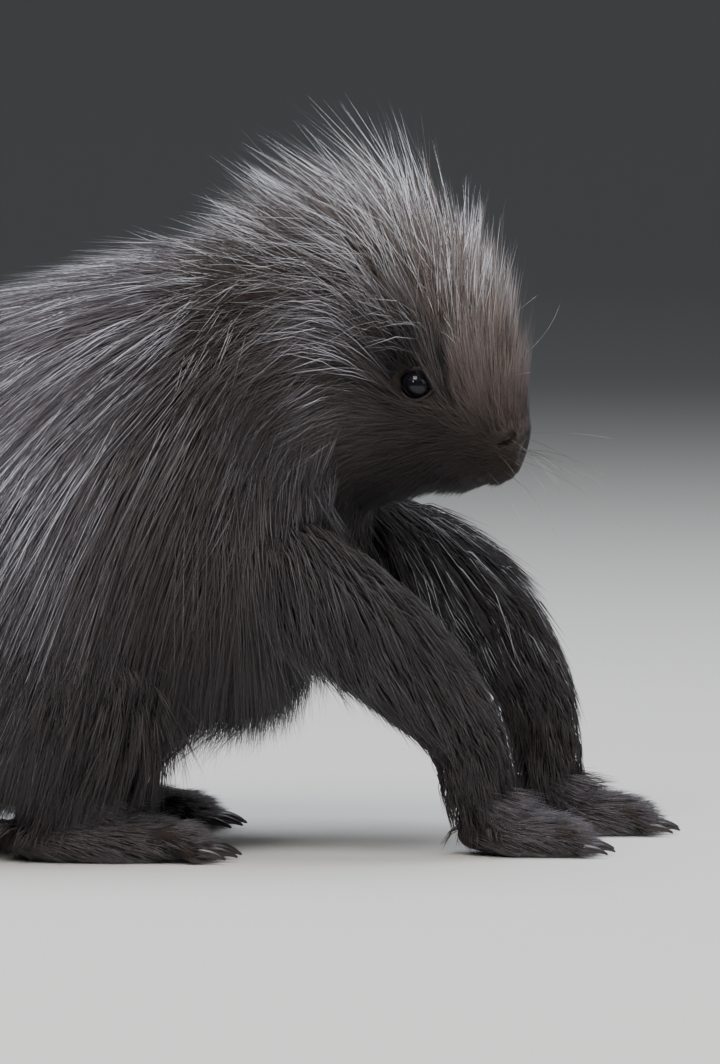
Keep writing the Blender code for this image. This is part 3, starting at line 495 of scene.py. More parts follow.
for name, root, heading, thick, length in claws:
    beside = np.cross(heading, (0, 0, 1))
    rings = [[root - heading * 0.6 * thick]]
    for t in np.linspace(0, 0.94, 9):
        middle = root + heading * (length * t) + np.array((0, 0, length * (0.16 * t - 0.34 * t * t)))
        size = thick * (1 - 0.8 * t**1.2)
        rings.append([middle + beside * (math.cos(a) * size * 0.72) + np.array((0, 0, math.sin(a) * size))
                      for a in 2 * math.pi * np.arange(12) / 12])
    rings.append([root + heading * length + np.array((0, 0, length * -0.18))])
    mesh = bpy.data.meshes.new(name + "_keratin")
    verts, faces = loft(rings)
    mesh.from_pydata([tuple(np.asarray(v) + SHIFT) for v in verts], [], faces)
    work = bmesh.new()
    work.from_mesh(mesh)
    bmesh.ops.recalc_face_normals(work, faces=work.faces)
    work.to_mesh(mesh)
    work.free()
    piece = add_piece(name + "_keratin", mesh, claw_finish)
    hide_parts(name)

# The coat: dense dark underfur with longer guard hairs over it, grown in tufts whose tips draw
# together. Each hair is a thin closed blade that follows the lie of the coat over the body.
rng = np.random.default_rng(11)
REACH_BACK, REACH_BESIDE, REACH_UP = 211 * MM, 82 * MM, 257 * MM  # how far the tips of the coat reach
EYE_CLEAR = EYE_RADIUS * 1.14
BONES = []
for side in (-1, 1):
    for path, radii in ((ARMS[side], ARM_RADII), (THIGH * (1, side, 1), THIGH_RADII),
                        (SHANK * (1, side, 1), SHANK_RADII)):
        BONES.extend(zip(path, path[1:], radii, radii[1:]))


def clear_of_legs(points, margin):
    """Moves points out of the legs, so that the coat drapes over them, and tells which lay inside."""
    flat = points.reshape(-1, 3).copy()
    margin = np.broadcast_to(margin, points.shape[:-1]).ravel()
    hit = np.zeros(len(flat), bool)
    for a, b, ra, rb in BONES:
        ab = b - a
        u = np.clip((flat - a) @ ab / (ab @ ab), 0, 1)
        near = a + u[:, None] * ab
        away = flat - near
        far = np.linalg.norm(away, axis=1)
        need = ra + (rb - ra) * u + margin
        inside = far < need
        flat[inside] = near[inside] + away[inside] * (need / np.maximum(far, 1e-6))[inside, None]
        hit |= inside
    return flat.reshape(points.shape), hit.reshape(points.shape[:-1])


def looking_out(side):
    """The way the eye on one side looks."""
    out = on_head(0, side, 0.12) - on_head(0, 0, 0)
    return out / np.linalg.norm(out)


def clear_of_eyes(points):
    """Bends hairs round the eyes, and tells which of the points lay over one."""
    flat = points.reshape(-1, 3).copy()
    hit = np.zeros(len(flat), bool)
    for side, eye in EYES.items():
        out = looking_out(side)
        away = flat - eye
        along = away @ out
        beside = away - along[:, None] * out
        far = np.linalg.norm(beside, axis=1)
        inside = (far < EYE_CLEAR) & (along > -4 * MM) & (along < 15 * MM)
        flat[inside] += beside[inside] * (EYE_CLEAR / np.maximum(far[inside], 1e-6) - 1)[:, None]
        hit |= inside
    return flat.reshape(points.shape), hit.reshape(points.shape[:-1])


def drift(s, angle):
    """How far round the body a hair's tip hangs from its root, towards the belly."""
    places = [station(x) for x in (0, -40, -70, -100, -130, -180, -230, -270, -350)]
    return np.interp(s, places, (0.10, 0.18, 0.42, 0.62, 0.66, 0.52, 0.42, 0.25, 0.10)) * np.sin(angle)


HEM = np.array([(-230, 8), (-170, 16), (-126, 32), (-92, 40), (-69, 50), (-38, 72)]) * MM  # x and height of the coat's hem


def hanging(s, angle):
    """1 low on the flanks, where the hair is longest and hangs over the tops of the legs, else 0."""
    low = smoothstep((np.abs(angle) - 0.9) / 0.6)
    return low * smoothstep((s - station(-70)) / (20 * MM)) * smoothstep((station(-250) - s) / (30 * MM))


def along_hair(points):
    """Shares of a hair's length at its points, closer together near the root, where it bends most."""
    return np.linspace(0, 1, points) ** 1.35


def lie(s, angle, t, swing=0.0, rise=0.0, erect=0.0, back=1.0):
    """A point of the hair rooted at s and angle, from 0 at the skin to 1 at the coat's full depth.
    swing turns it round the body, rise lifts it off the lie, erect hair stands straighter, and back
    scales how far it lies back."""
    sweep = ring_at(s)[..., 8] * (1 + 0.3 * np.sin(angle) ** 2) * (1 - 0.3 * erect) * (1 - 0.4 * hanging(s, angle))
    sweep = sweep * back
    depth = np.minimum(t, 1.12) ** (0.75 + 0.2 * erect) + rise * t
    tip = s + sweep * t ** (1.25 - 0.2 * erect)
    past = np.clip(tip - TAIL_TIP + 3 * MM, 0, None)  # hairs at the tail's end go on behind it
    points = body(tip - past, angle + (drift(s, angle) + swing) * t, depth * (1 - past / (30 * MM)))
    middle = (body(TAIL_TIP, 0.0) + body(TAIL_TIP, math.pi)) / 2
    points += (middle - points) * (0.85 * smoothstep(past / (10 * MM)))[..., None] * (0, 1, 1)
    return points - past[..., None] * (1, 0, 0.15)


def hairs_on_body(count, s_from, s_to, keep, reach, tuft, spread, loose, rise=((0,), (0.0,)), rings=4, turn=0.0,
                  erect=0.0, pull=0.62, back=1.0, fall=0.0, trim=((0,), (1.0,))):
    """Curves of hairs between two stations where keep(s, angle) says so. reach is the length as a
    share of the coat's depth, tuft how many hairs share one tip zone, spread a tuft's radius, and
    turn how far the tips swing towards the belly beyond the lie, and rise how far they stand off it
    at some stations. pull draws a tuft's tips together, back scales how far the hairs lie back,
    fall lets their tips hang lower, and trim scales their length at some stations."""
    tufts = max(1, count // tuft)
    s = rng.uniform(s_from, s_to, tufts * 8)
    angle = rng.uniform(-math.pi, math.pi, tufts * 8)
    step = 0.5 * MM
    along = np.linalg.norm(body(s + step, angle) - body(s - step, angle), axis=1)
    around = np.linalg.norm(body(s, angle + 0.01) - body(s, angle - 0.01), axis=1)
    area = along * around * keep(s, angle)
    picked = rng.choice(len(s), tufts, p=area / area.sum())
    s, angle = s[picked], angle[picked]
    lean, sway = (np.clip(rng.normal(0, 1, tufts), -1.6, 1.6) * k for k in (0.5 * loose, loose))
    size = rng.uniform(1 - reach[1], 1 + reach[1], tufts) * reach[0]
    own = np.repeat(np.arange(tufts), tuft)
    local = np.linalg.norm(body(s, angle + 0.01) - body(s, angle - 0.01), axis=1)[own] / 0.02
    root_s = np.clip(s[own] + rng.normal(0, spread, len(own)), 0.8 * MM, TAIL_TIP - 2 * MM)
    root_angle = angle[own] + rng.normal(0, spread, len(own)) / np.maximum(local, 4 * MM)
    length = size[own] * rng.uniform(0.86, 1.08, len(own)) * (1 + 0.5 * hanging(root_s, root_angle) * (np.abs(root_angle) < 2.1))
    chin = smoothstep((-np.cos(root_angle) - 0.45) / 0.35) * smoothstep((station(-30) - root_s) / (8 * MM))
    length *= (1 - 0.5 * chin) * np.interp(root_s, *trim)
    t = along_hair(rings + 1)[None, :]
    sway = sway + turn * np.sin(angle)
    swing = (sway[own] + rng.normal(0, loose * 0.4, len(own)))[:, None]
    up = (lean[own] * 0.6 + rng.normal(0, loose * 0.3, len(own)))[:, None] + np.interp(root_s, *rise)[:, None]
    single = lie(root_s[:, None], root_angle[:, None], t * length[:, None], swing, up, erect, back)
    shared = lie(s[own][:, None], angle[own][:, None], t * length[:, None], sway[own][:, None], up, erect, back)
    curves = single + (shared - single) * (pull * t**1.5)[..., None]
    bend = np.clip(rng.normal(0, 0.035, (len(own), 3)), -0.055, 0.055)
    size = np.linalg.norm(curves[:, -1] - curves[:, 0], axis=1)
    curves += (t**2)[..., None] * (bend * size[:, None])[:, None, :]
    tip = curves[:, -1]
    above = tip[:, 2] - np.interp(tip[:, 0], *HEM.T) * rng.uniform(0.95, 1.7, len(own))
    drape = hanging(root_s, root_angle) * smoothstep((station(-225) - root_s) / (30 * MM))
    curves[..., 2] -= t**1.6 * (np.clip(above, 0, 40 * MM) * drape + 0.12 * size * hanging(root_s, root_angle))[:, None]
    curves[..., 2] -= t**1.6 * (fall * np.interp(root_s, *trim))[:, None]
    short = np.interp(curves[:, -1, 0], *HEM.T) * rng.uniform(0.78, 1.12, len(own)) - curves[:, -1, 2]
    curves[..., 2] += t**1.6 * (np.clip(short, 0, None) * (fall > 0))[:, None]
    moved, hit = clear_of_legs(curves, rng.uniform(3.0, 6.5, (len(own), 1)) * MM)
    curves[:, 1:] = moved[:, 1:]
    good = ~hit[:, 0]
    moved, hit = clear_of_eyes(curves)
    good &= ~hit[:, 0] & ~(hit.any(1) & (size > 6 * MM))
    curves[:, 1:] = moved[:, 1:]
    between = (curves[:, 1:] + curves[:, :-1]) / 2
    good &= ~clear_of_eyes((between - curves[:, :1]) * 0.985 + curves[:, :1])[1].any(1)
    near = np.min([off_path(curves[:, 0], opening) for opening in (mouth, *nostrils)], axis=0)
    good &= near > 1.3 * MM
    curves[:, 1:] = curves[:, :1] + (curves[:, 1:] - curves[:, :1]) * np.clip(near / (6 * MM), 0.45, 1)[:, None, None]
    curves[..., 2] = np.maximum(curves[..., 2], 0.6 * MM)
    seg = np.diff(curves, axis=1)
    seg /= np.maximum(np.linalg.norm(seg, axis=2), 1e-9)[..., None]
    kinked = (seg[:, 1:] * seg[:, :-1]).sum(2).min(1, initial=1) < 0.7
    good &= ~(kinked & (root_s < station(-90)))
    out = body(root_s, root_angle, 0.9) - body(root_s, root_angle, 0.0)
    out /= np.linalg.norm(out, axis=1)[:, None]
    curves[:, 0] -= out * 0.8 * MM
    made = dict(curves=curves, out=out, s=root_s, angle=(root_angle + math.pi) % (2 * math.pi) - math.pi,
                tuft=rng.uniform(0, 1, tufts)[own])
    return {key: value[good] for key, value in made.items()}


def blades(name, hairs, width, finish, where, ridge=0.5, taper=0.55):
    """One piece of coat from curves: each hair a closed three-sided blade that narrows to a point.
    where gives each root's place on the unwrapped skin, for the baked colours."""
    curves, out = hairs["curves"], hairs["out"]
    count, points = curves.shape[:2]
    grown = curves - curves[:, :1]
    for axis, edge in ((0, -REACH_BACK), (1, REACH_BESIDE), (1, -REACH_BESIDE), (2, REACH_UP)):
        share = (edge - curves[:, 0, axis] - SHIFT[axis]) / np.where(grown[:, -1, axis] == 0, 1, grown[:, -1, axis])
        passed = (share > 0) & (share < 1)
        grown[passed] *= share[passed][:, None, None] * rng.uniform(0.86, 1, passed.sum())[:, None, None]
    curves = curves[:, :1] + grown
    ahead = np.gradient(curves, axis=1)
    ahead /= np.maximum(np.linalg.norm(ahead, axis=2), 1e-9)[..., None]
    twist = rng.normal(0, 0.5, (count, 1, 1))
    across = np.cross(ahead, out[:, None, :])
    across /= np.maximum(np.linalg.norm(across, axis=2), 1e-9)[..., None]
    over = np.cross(across, ahead)
    across, over = across * np.cos(twist) + over * np.sin(twist), over * np.cos(twist) - across * np.sin(twist)
    spots = along_hair(points)
    share = spots[:-1]
    profile = (0.75 + 0.5 * share) * (1 - share**3 * (1 - taper)) / 1.1
    wide = (width * rng.uniform(0.7, 1.25, count))[:, None, None] * profile[None, :, None] / 2
    body_points = curves[:, :-1]
    rings = np.stack([body_points - across[:, :-1] * wide, body_points + over[:, :-1] * wide * 2 * ridge,
                      body_points + across[:, :-1] * wide], 2)
    verts = np.concatenate([rings.reshape(count, -1, 3), curves[:, -1:]], 1)
    per = verts.shape[1]
    sides = np.arange(3)
    nexts = (sides + 1) % 3
    quads = [np.stack([3 * k + sides, 3 * k + nexts, 3 * k + 3 + nexts, 3 * k + 3 + sides], 1)
             for k in range(points - 2)]
    quads = np.concatenate(quads) if quads else np.zeros((0, 4), int)
    last = 3 * (points - 2)
    tris = np.concatenate([np.stack([last + sides, last + nexts, np.full(3, per - 1)], 1), [[2, 1, 0]]])
    start = (np.arange(count) * per)[:, None, None]
    loops = np.concatenate([(quads[None] + start).reshape(count, -1), (tris[None] + start).reshape(count, -1)], 1)
    totals = np.tile(np.concatenate([np.full(len(quads), 4), np.full(len(tris), 3)]), count)
    mesh = bpy.data.meshes.new(name)
    mesh.vertices.add(count * per)
    mesh.vertices.foreach_set("co", (verts + SHIFT).astype(np.float32).ravel())
    mesh.loops.add(loops.size)
    mesh.loops.foreach_set("vertex_index", loops.astype(np.int32).ravel())
    mesh.polygons.add(len(totals))
    mesh.polygons.foreach_set("loop_start", (np.cumsum(totals) - totals).astype(np.int32))
    mesh.update(calc_edges=True)
    along = np.append(np.repeat(spots[:-1], 3), 1.0)
    beside = np.append(np.tile((0.0, 0.5, 1.0), points - 1), 0.5)
    low, high = where.min(0), where.max(0)
    roots = 0.002 + (where - low) / (high - low) * 0.992
    patches = roots[:, None, :] + 0.003 * np.stack([beside, along], 1)[None]
    uv = mesh.uv_layers.new(name="OFBake")
    uv.data.foreach_set("uv", patches.reshape(-1, 2)[loops.ravel()].astype(np.float32).ravel())
    values = {"along": np.tile(along, count), "tone": np.repeat(rng.uniform(0, 1, count), per),
              "tuft": np.repeat(hairs["tuft"], per)}
    for key in ("frost", "warm"):
        values[key] = np.repeat(hairs[key], per)
    values["beside"] = np.tile(beside, count)
    for key, value in values.items():
        mesh.attributes.new(key, "FLOAT", "POINT").data.foreach_set("value", value.astype(np.float32))
    return add_piece(name, mesh, finish)


# Young porcupine hair, dry keratin with a soft shine along it: blackish brown at the root, browner
# where the region is warm, and now and then banded to a silver tip where the region is frosted. Each
# blade stands for a few hairs side by side, so fine streaks run along it. The tone is darker towards
# the root, partly the hair's own colour and partly painted shade deep in the coat, and is lighter or
# darker by the painted light and shade each hair carries in its tuft value.
def hair_finish(name, dark, warm, silver, tip_from, tip_to, silvered, roughness, haze=0.5):
    made, nodes, links, shader = new_material(name, roughness, IOR=1.55, Specular_IOR_Level=0.3, Sheen_Weight=0.1,
                                              Sheen_Roughness=0.45, Sheen_Tint=linear("#cfd6e6"))
    read = {key: node(nodes, links, "ShaderNodeAttribute", {"attribute_name": key}).outputs["Fac"]
            for key in ("along", "beside", "tone", "tuft", "frost", "warm")}

    def math_of(operation, a, b=0.5, c=0.5, clamp=False):
        return node(nodes, links, "ShaderNodeMath", {"operation": operation, "use_clamp": clamp},
                    in0=a, in1=b, in2=c).outputs["Value"]

    def mixed(share, a, b, kind="MIX"):
        return node(nodes, links, "ShaderNodeMix", {"data_type": "RGBA", "blend_type": kind},
                    in0=share, in6=a, in7=b).outputs[2]

    place = node(nodes, links, "ShaderNodeTexCoord").outputs["Object"]
    patch = node(nodes, links, "ShaderNodeTexNoise", Vector=place, Scale=1 / (26 * MM), Detail=3.0).outputs["Fac"]
    across = node(nodes, links, "ShaderNodeCombineXYZ", X=math_of("MULTIPLY", read["beside"], 4.2),
                  Y=math_of("MULTIPLY", read["along"], 1.1), Z=math_of("MULTIPLY", read["tone"], 61.0))
    streak = node(nodes, links, "ShaderNodeTexNoise", Vector=across.outputs["Vector"], Scale=1.0,
                  Detail=2.0).outputs["Fac"]
    start = math_of("MULTIPLY_ADD", read["tuft"], 0.25, tip_from)
    band = node(nodes, links, "ShaderNodeMapRange", {"interpolation_type": "SMOOTHSTEP"},
                Value=read["along"], From_Min=start, From_Max=tip_to).outputs["Result"]
    chosen = node(nodes, links, "ShaderNodeMapRange", {"interpolation_type": "SMOOTHSTEP"},
                  Value=math_of("MULTIPLY_ADD", patch, 0.35, read["tone"]), From_Min=1.12 - silvered,
                  From_Max=1.3 - silvered).outputs["Result"]
    pale = math_of("MULTIPLY", math_of("MULTIPLY", band, read["frost"]), chosen, clamp=True)
    pale = math_of("MULTIPLY", pale, math_of("MULTIPLY_ADD", streak, 1.2, 0.35), clamp=True)
    ground = mixed(read["warm"], linear(dark), linear(warm))
    tips = math_of("MULTIPLY", read["along"], read["frost"])
    ground = mixed(math_of("MULTIPLY", tips, haze), ground, linear("#8b868c"))
    colour = mixed(pale, ground, linear(silver))
    # Painted light and shade: the tuft value carries each hair's painted shade and light from its region, and the root
    # end is darkened as painted shade deep in the coat; the streaks are the hairs' own grain.
    shade = math_of("MULTIPLY_ADD", read["tuft"], 0.3, 0.7)
    shade = math_of("MULTIPLY", shade, math_of("MULTIPLY_ADD", read["along"], 0.5, 0.6))
    shade = math_of("MULTIPLY", shade, math_of("MULTIPLY_ADD", streak, 1.9, 0.05))
    grey = node(nodes, links, "ShaderNodeCombineColor", Red=shade, Green=shade, Blue=shade).outputs["Color"]
    links.new(mixed(1.0, colour, grey, "MULTIPLY"), shader.inputs["Base Color"])
    return made


underfur_finish = hair_finish("woolly_underfur", "#312e2f", "#7a6b64", "#a3a1a8", 0.45, 1.0, 0.2, 0.62, haze=0.7)
wool_finish = hair_finish("brown_crest_wool", "#36302e", "#75665d", "#a3a1a8", 0.6, 1.0, 0.05, 0.65, haze=0.1)
foot_finish = hair_finish("coarse_foot_hair", "#444046", "#75655a", "#d6d8e2", 0.25, 0.9, 0.5, 0.5, haze=0.6)
guard_finish = hair_finish("silver_tipped_guard_hair", "#332f30", "#6f635e", "#eceefa", 0.22, 0.8, 0.5, 0.45)
crest_finish = hair_finish("white_tipped_crest_hair", "#332e2c", "#65574f", "#f6f9ff", 0.1, 0.5, 0.42, 0.4, haze=0.0)
face_finish = hair_finish("short_face_velvet", "#2d2827", "#6b5a50", "#a19b99", 0.3, 1.0, 0.4, 0.65)


def coloured(hairs):
    """Tells each hair how silver and how warm its region is, and sets its tone: painted shade low on the
    trunk, painted light along the top of the back, a painted shadow in the crease before each eye,
    where the hairs are also cut short, darker round the eyes and low on the muzzle, lighter on the cheeks.
    """
    s, top = hairs["s"], np.cos(hairs["angle"])
    places = [station(x) for x in (0, -12, -30, -60, -110, -160, -220, -260, -350)]
    ridge = np.interp(s, places, (0.02, 0.15, 0.76, 1.3, 2.1, 1.9, 1.4, 0.6, 0.4))
    flank = np.interp(s, places, (0.05, 0.06, 0.2, 0.3, 0.06, 0.22, 0.28, 0.28, 0.2))
    first = np.interp(s, [station(x) for x in (0, -30, -66, -96, -126, -160)], (-0.15, 0.1, 0.46, 0.3, -0.15, -0.25))
    hairs["frost"] = flank + (ridge - flank) * smoothstep((top - first) / 0.75)
    chin = smoothstep((station(-34) - s) / (12 * MM)) * smoothstep((s - 7 * MM) / (4 * MM))
    hairs["frost"] *= 1 - 0.6 * smoothstep((-top - 0.1) / 0.6)
    hairs["frost"] += 0.35 * chin * smoothstep((-top - 0.75) / 0.2)
    trunk_share = smoothstep((s - station(-60)) / (40 * MM))
    drop = 0.6 * smoothstep((115 * MM - hairs["curves"][:, -1, 2]) / (75 * MM))
    hairs["frost"] *= 1 - drop * trunk_share
    # Painted shade: hairs low on the trunk are darkened, as if lit only from above.
    hairs["tuft"] = hairs["tuft"] - 1.3 * smoothstep((0.15 - top) / 0.8) * trunk_share
    # Painted light: hairs along the top of the back are lightened, as if lit from above.
    hairs["tuft"] += 0.9 * smoothstep((top - 0.1) / 0.6) * smoothstep((s - station(-92)) / (26 * MM))
    hairs["tuft"] -= 0.7 * smoothstep((station(-30) - s) / (12 * MM)) * smoothstep((0.5 - top) / 0.5)
    cheek = smoothstep((s - station(-28)) / (8 * MM)) * smoothstep((station(-56) - s) / (12 * MM))
    cheek *= smoothstep((0.5 - top) / 0.4)
    hairs["tuft"] += 0.6 * cheek
    hairs["frost"] += 0.12 * cheek
    warm_top = np.interp(s, places, (0.2, 0.95, 0.8, 0.45, 0.35, 0.25, 0.2, 0.2, 0.2))
    warm_side = np.interp(s, places, (0.5, 0.35, 0.25, 0.3, 0.3, 0.22, 0.2, 0.2, 0.2))
    hairs["warm"] = warm_side + (warm_top - warm_side) * smoothstep(top)
    # Painted shadow: hairs that reach the crease before each eye are darkened and cut short there; hairs rooted round
    # each eye are made darker too.
    for side, eye in EYES.items():
        near = np.linalg.norm(hairs["curves"][:, 0] - eye, axis=1)
        curves = hairs["curves"]
        crease = [eye * (1, 0, 1) + np.array(off) * MM for off in ((9.5, 0, 5), (11, 0, 0), (13, 0, -7))]
        root, tip = curves[:, 0] * (1, 0, 1), curves[:, -1] * (1, 0, 1)
        steps = np.linspace(0, 1, 8)
        off = np.array([off_path(root + (tip - root) * step, crease) for step in steps])
        reached = steps[np.argmin(off, 0)]
        dip = np.where(hairs["angle"] * side > 0, smoothstep((off.min(0) - 0.8 * MM) / (2.0 * MM)), 1)
        stop = np.clip(reached - 0.05, 0.3, 1)
        hairs["curves"] = curves[:, :1] + (curves - curves[:, :1]) * (stop + (1 - stop) * dip)[:, None, None]
        dark = (1 - dip) * (1 - smoothstep(reached / 0.5))
        shade = smoothstep((near - 6 * MM) / (7 * MM))
        hairs["tuft"] = hairs["tuft"] * shade * (1 - dark) - 1.3 * (1 - shade) - 1.6 * dark
    return hairs


def unwrapped(hairs):
    return np.stack([hairs["s"], hairs["angle"]], 1)


HEAD_TOP = station(-9), station(-80)


def on_crest(s, angle):
    return (np.abs(angle) < np.interp(s, (station(-9), station(-30), station(-80)), (0.75, 0.95, 1.15))) * 1.0


def below_crest(s, angle):
    return 1.0 - on_crest(s, angle)


def left(s, angle):
    return (angle > 0) * 1.0


def right(s, angle):
    return (angle <= 0) * 1.0


# Face and throat: short velvety fur that lies back from the nose, a little longer on the cheeks.
def on_muzzle(s, angle):
    return 1.0 - 0.97 * (np.cos(angle) > 0.62) * (s > station(-7))


fluff = (station(-5), station(-13), station(-24)), (0.55, 0.35, 0.15)
muzzle = coloured(hairs_on_body(13600, 0.5 * MM, station(-15), on_muzzle, (0.68, 0.3), 2, 0.7 * MM, 0.24,
                                rise=fluff, rings=1))
blades("coat_muzzle", muzzle, 0.32 * MM, face_finish, unwrapped(muzzle))
face = coloured(hairs_on_body(26000, station(-11), station(-52), below_crest, (0.72, 0.3), 3, 0.9 * MM, 0.15,
                              rise=fluff, rings=1))
blades("coat_face", face, 0.38 * MM, face_finish, unwrapped(face))
cheeks = coloured(hairs_on_body(7000, station(-44), station(-84), below_crest, (0.9, 0.2), 5, 1.6 * MM, 0.12,
                                rings=2))
blades("coat_cheeks", cheeks, 0.6 * MM, underfur_finish, unwrapped(cheeks))

cheek_guard = coloured(hairs_on_body(2600, station(-40), station(-80), below_crest, (1.0, 0.2), 2, 1.6 * MM, 0.10,
                                     rings=3))
cheek_guard["frost"] += 0.12
blades("coat_cheek_guard", cheek_guard, 0.24 * MM, guard_finish, unwrapped(cheek_guard))

# Silver streaks that fan back from behind the eye, and a few over it.
def behind_eye(s, angle):
    return (np.abs(np.abs(angle) - 1.22) < 0.22) * 1.0


streaks = coloured(hairs_on_body(320, station(-37), station(-50), behind_eye, (0.9, 0.2), 4, 1.6 * MM, 0.08,
                                 rise=((0,), (0.5,)), rings=4, turn=-0.15))
streaks["frost"] += 0.7
blades("coat_cheek_streaks", streaks, 0.22 * MM, guard_finish, unwrapped(streaks))

# Crest: woolly brown fur that stands up from the bridge of the nose and brow, under long silver
# guard hairs that stand and sweep back over the crown.
crest = coloured(hairs_on_body(10500, station(-6), station(-82), on_crest, (0.66, 0.25), 5, 1.9 * MM, 0.12,
                               rings=2, erect=0.6, pull=0.45))
crest["tuft"] -= 0.45 * smoothstep((crest["s"] - station(-20)) / (14 * MM))
blades("coat_crest_underfur", crest, 0.55 * MM, wool_finish, unwrapped(crest))
lower_behind = (station(-48), station(-68), station(-86)), (1.0, 0.9, 0.84)
crest_guard = coloured(hairs_on_body(4600, station(-12), station(-86), on_crest, (0.94, 0.2), 6, 2.8 * MM, 0.2,
                                     rings=3, erect=1.0, pull=0.7, trim=lower_behind))
blades("coat_crest_guard", crest_guard, 0.31 * MM, crest_finish, unwrapped(crest_guard))

# Neck, shoulders, back and flanks: deep underfur and long coarse guard hairs that hang back and
# down, grown in a left and a right half.
for half, name in ((left, "left"), (right, "right")):
    for part, s_from, s_to, under, guard in (("shoulder", station(-78), station(-142), 7200, 3600),
                                             ("flank", station(-138), station(-208), 6800, 3300),
                                             ("rump", station(-204), station(-268), 4000, 1900)):
        wool = coloured(hairs_on_body(under, s_from, s_to, half, (0.8, 0.2), 6, 3.2 * MM, 0.07, rings=2, pull=0.5))
        blades(f"coat_{part}_underfur_{name}", wool, 0.85 * MM, underfur_finish, unwrapped(wool))
        hair = coloured(hairs_on_body(guard, s_from, s_to, half, (1.0, 0.18), 3, 3.0 * MM, 0.09, rings=3, pull=0.5))
        blades(f"coat_{part}_guard_{name}", hair, 0.34 * MM, guard_finish, unwrapped(hair))

# The low edge of the coat: longer hair from the sides of the neck, the shoulder and the flank, which
# hangs over the tops of the legs like a curtain.
def low_side(s, angle):
    turn = np.abs(angle)
    return smoothstep((turn - 1.1) / 0.35) * (turn < 2.2) * smoothstep((s - station(-44)) / (24 * MM))


for half, name in ((left, "left"), (right, "right")):
    for part, s_from, s_to, count, back, fall in (("mantle", station(-46), station(-106), 2600, 0.5, 26 * MM),
                                                  ("skirt", station(-120), station(-206), 2500, 0.7, 32 * MM)):
        hair = coloured(hairs_on_body(count, s_from, s_to, lambda s, a: half(s, a) * low_side(s, a), (1.15, 0.2), 4,
                                      3.0 * MM, 0.09, rings=3, turn=0.3, pull=0.5, back=back, fall=fall,
                                      trim=((station(-46), station(-80)), (0.5, 1.0))))
        hair["frost"] *= 0.8
        hair["warm"] += 0.1
        blades(f"coat_{part}_{name}", hair, 0.5 * MM, guard_finish, unwrapped(hair))

# Tail: a short thick club of coarse hair laid on the floor.
tail = coloured(hairs_on_body(4200, station(-262), TAIL_TIP - 4 * MM, lambda s, a: 1.0, (0.9, 0.25), 5, 2.2 * MM,
                              0.10, rings=2))
blades("coat_tail", tail, 1.1 * MM, underfur_finish, unwrapped(tail))
tail_guard = coloured(hairs_on_body(1700, station(-262), TAIL_TIP - 4 * MM, lambda s, a: 1.0, (1.0, 0.15), 2,
                                    2.0 * MM, 0.08, rings=3))
blades("coat_tail_guard", tail_guard, 0.5 * MM, guard_finish, unwrapped(tail_guard))


# Legs and feet: coarse dark fur that runs down the limb, long at the shoulder and elbow and short
# on the feet, where it lies flat towards the toes.
light_mesh.calc_loop_triangles()
corners = np.empty(len(light_mesh.loop_triangles) * 3, np.int32)
light_mesh.loop_triangles.foreach_get("vertices", corners)
skin_points = numbers(light_mesh.vertices, "co", 3) - SHIFT
skin_tris = skin_points[corners.reshape(-1, 3)]
skin_cross = np.cross(skin_tris[:, 1] - skin_tris[:, 0], skin_tris[:, 2] - skin_tris[:, 0])
skin_area = np.linalg.norm(skin_cross, axis=1) / 2
skin_normal = skin_cross / np.maximum(skin_area[:, None] * 2, 1e-12)
skin_middle = skin_tris.mean(1)


def along_bones(points, path, radii):
    """Share along a limb, direction and angle round it for each point, and how far off its skin."""
    lengths = np.linalg.norm(np.diff(path, axis=0), axis=1)
    done = np.concatenate([[0], np.cumsum(lengths)])
    best = np.full(len(points), 9.0)
    share, heading, around = np.zeros(len(points)), np.zeros_like(points), np.zeros(len(points))
    for k, (a, b) in enumerate(zip(path, path[1:])):
        ab = b - a
        u = np.clip((points - a) @ ab / (ab @ ab), 0, 1)
        away = points - a - u[:, None] * ab
        off = np.linalg.norm(away, axis=1) - (radii[k] + (radii[k + 1] - radii[k]) * u)
        closer = off < best
        best[closer] = off[closer]
        share[closer] = ((done[k] + u * lengths[k]) / done[-1])[closer]
        heading[closer] = ab / lengths[k]
        around[closer] = np.arctan2(away[closer, 1], away[closer, 0])
    return share, heading, around, best


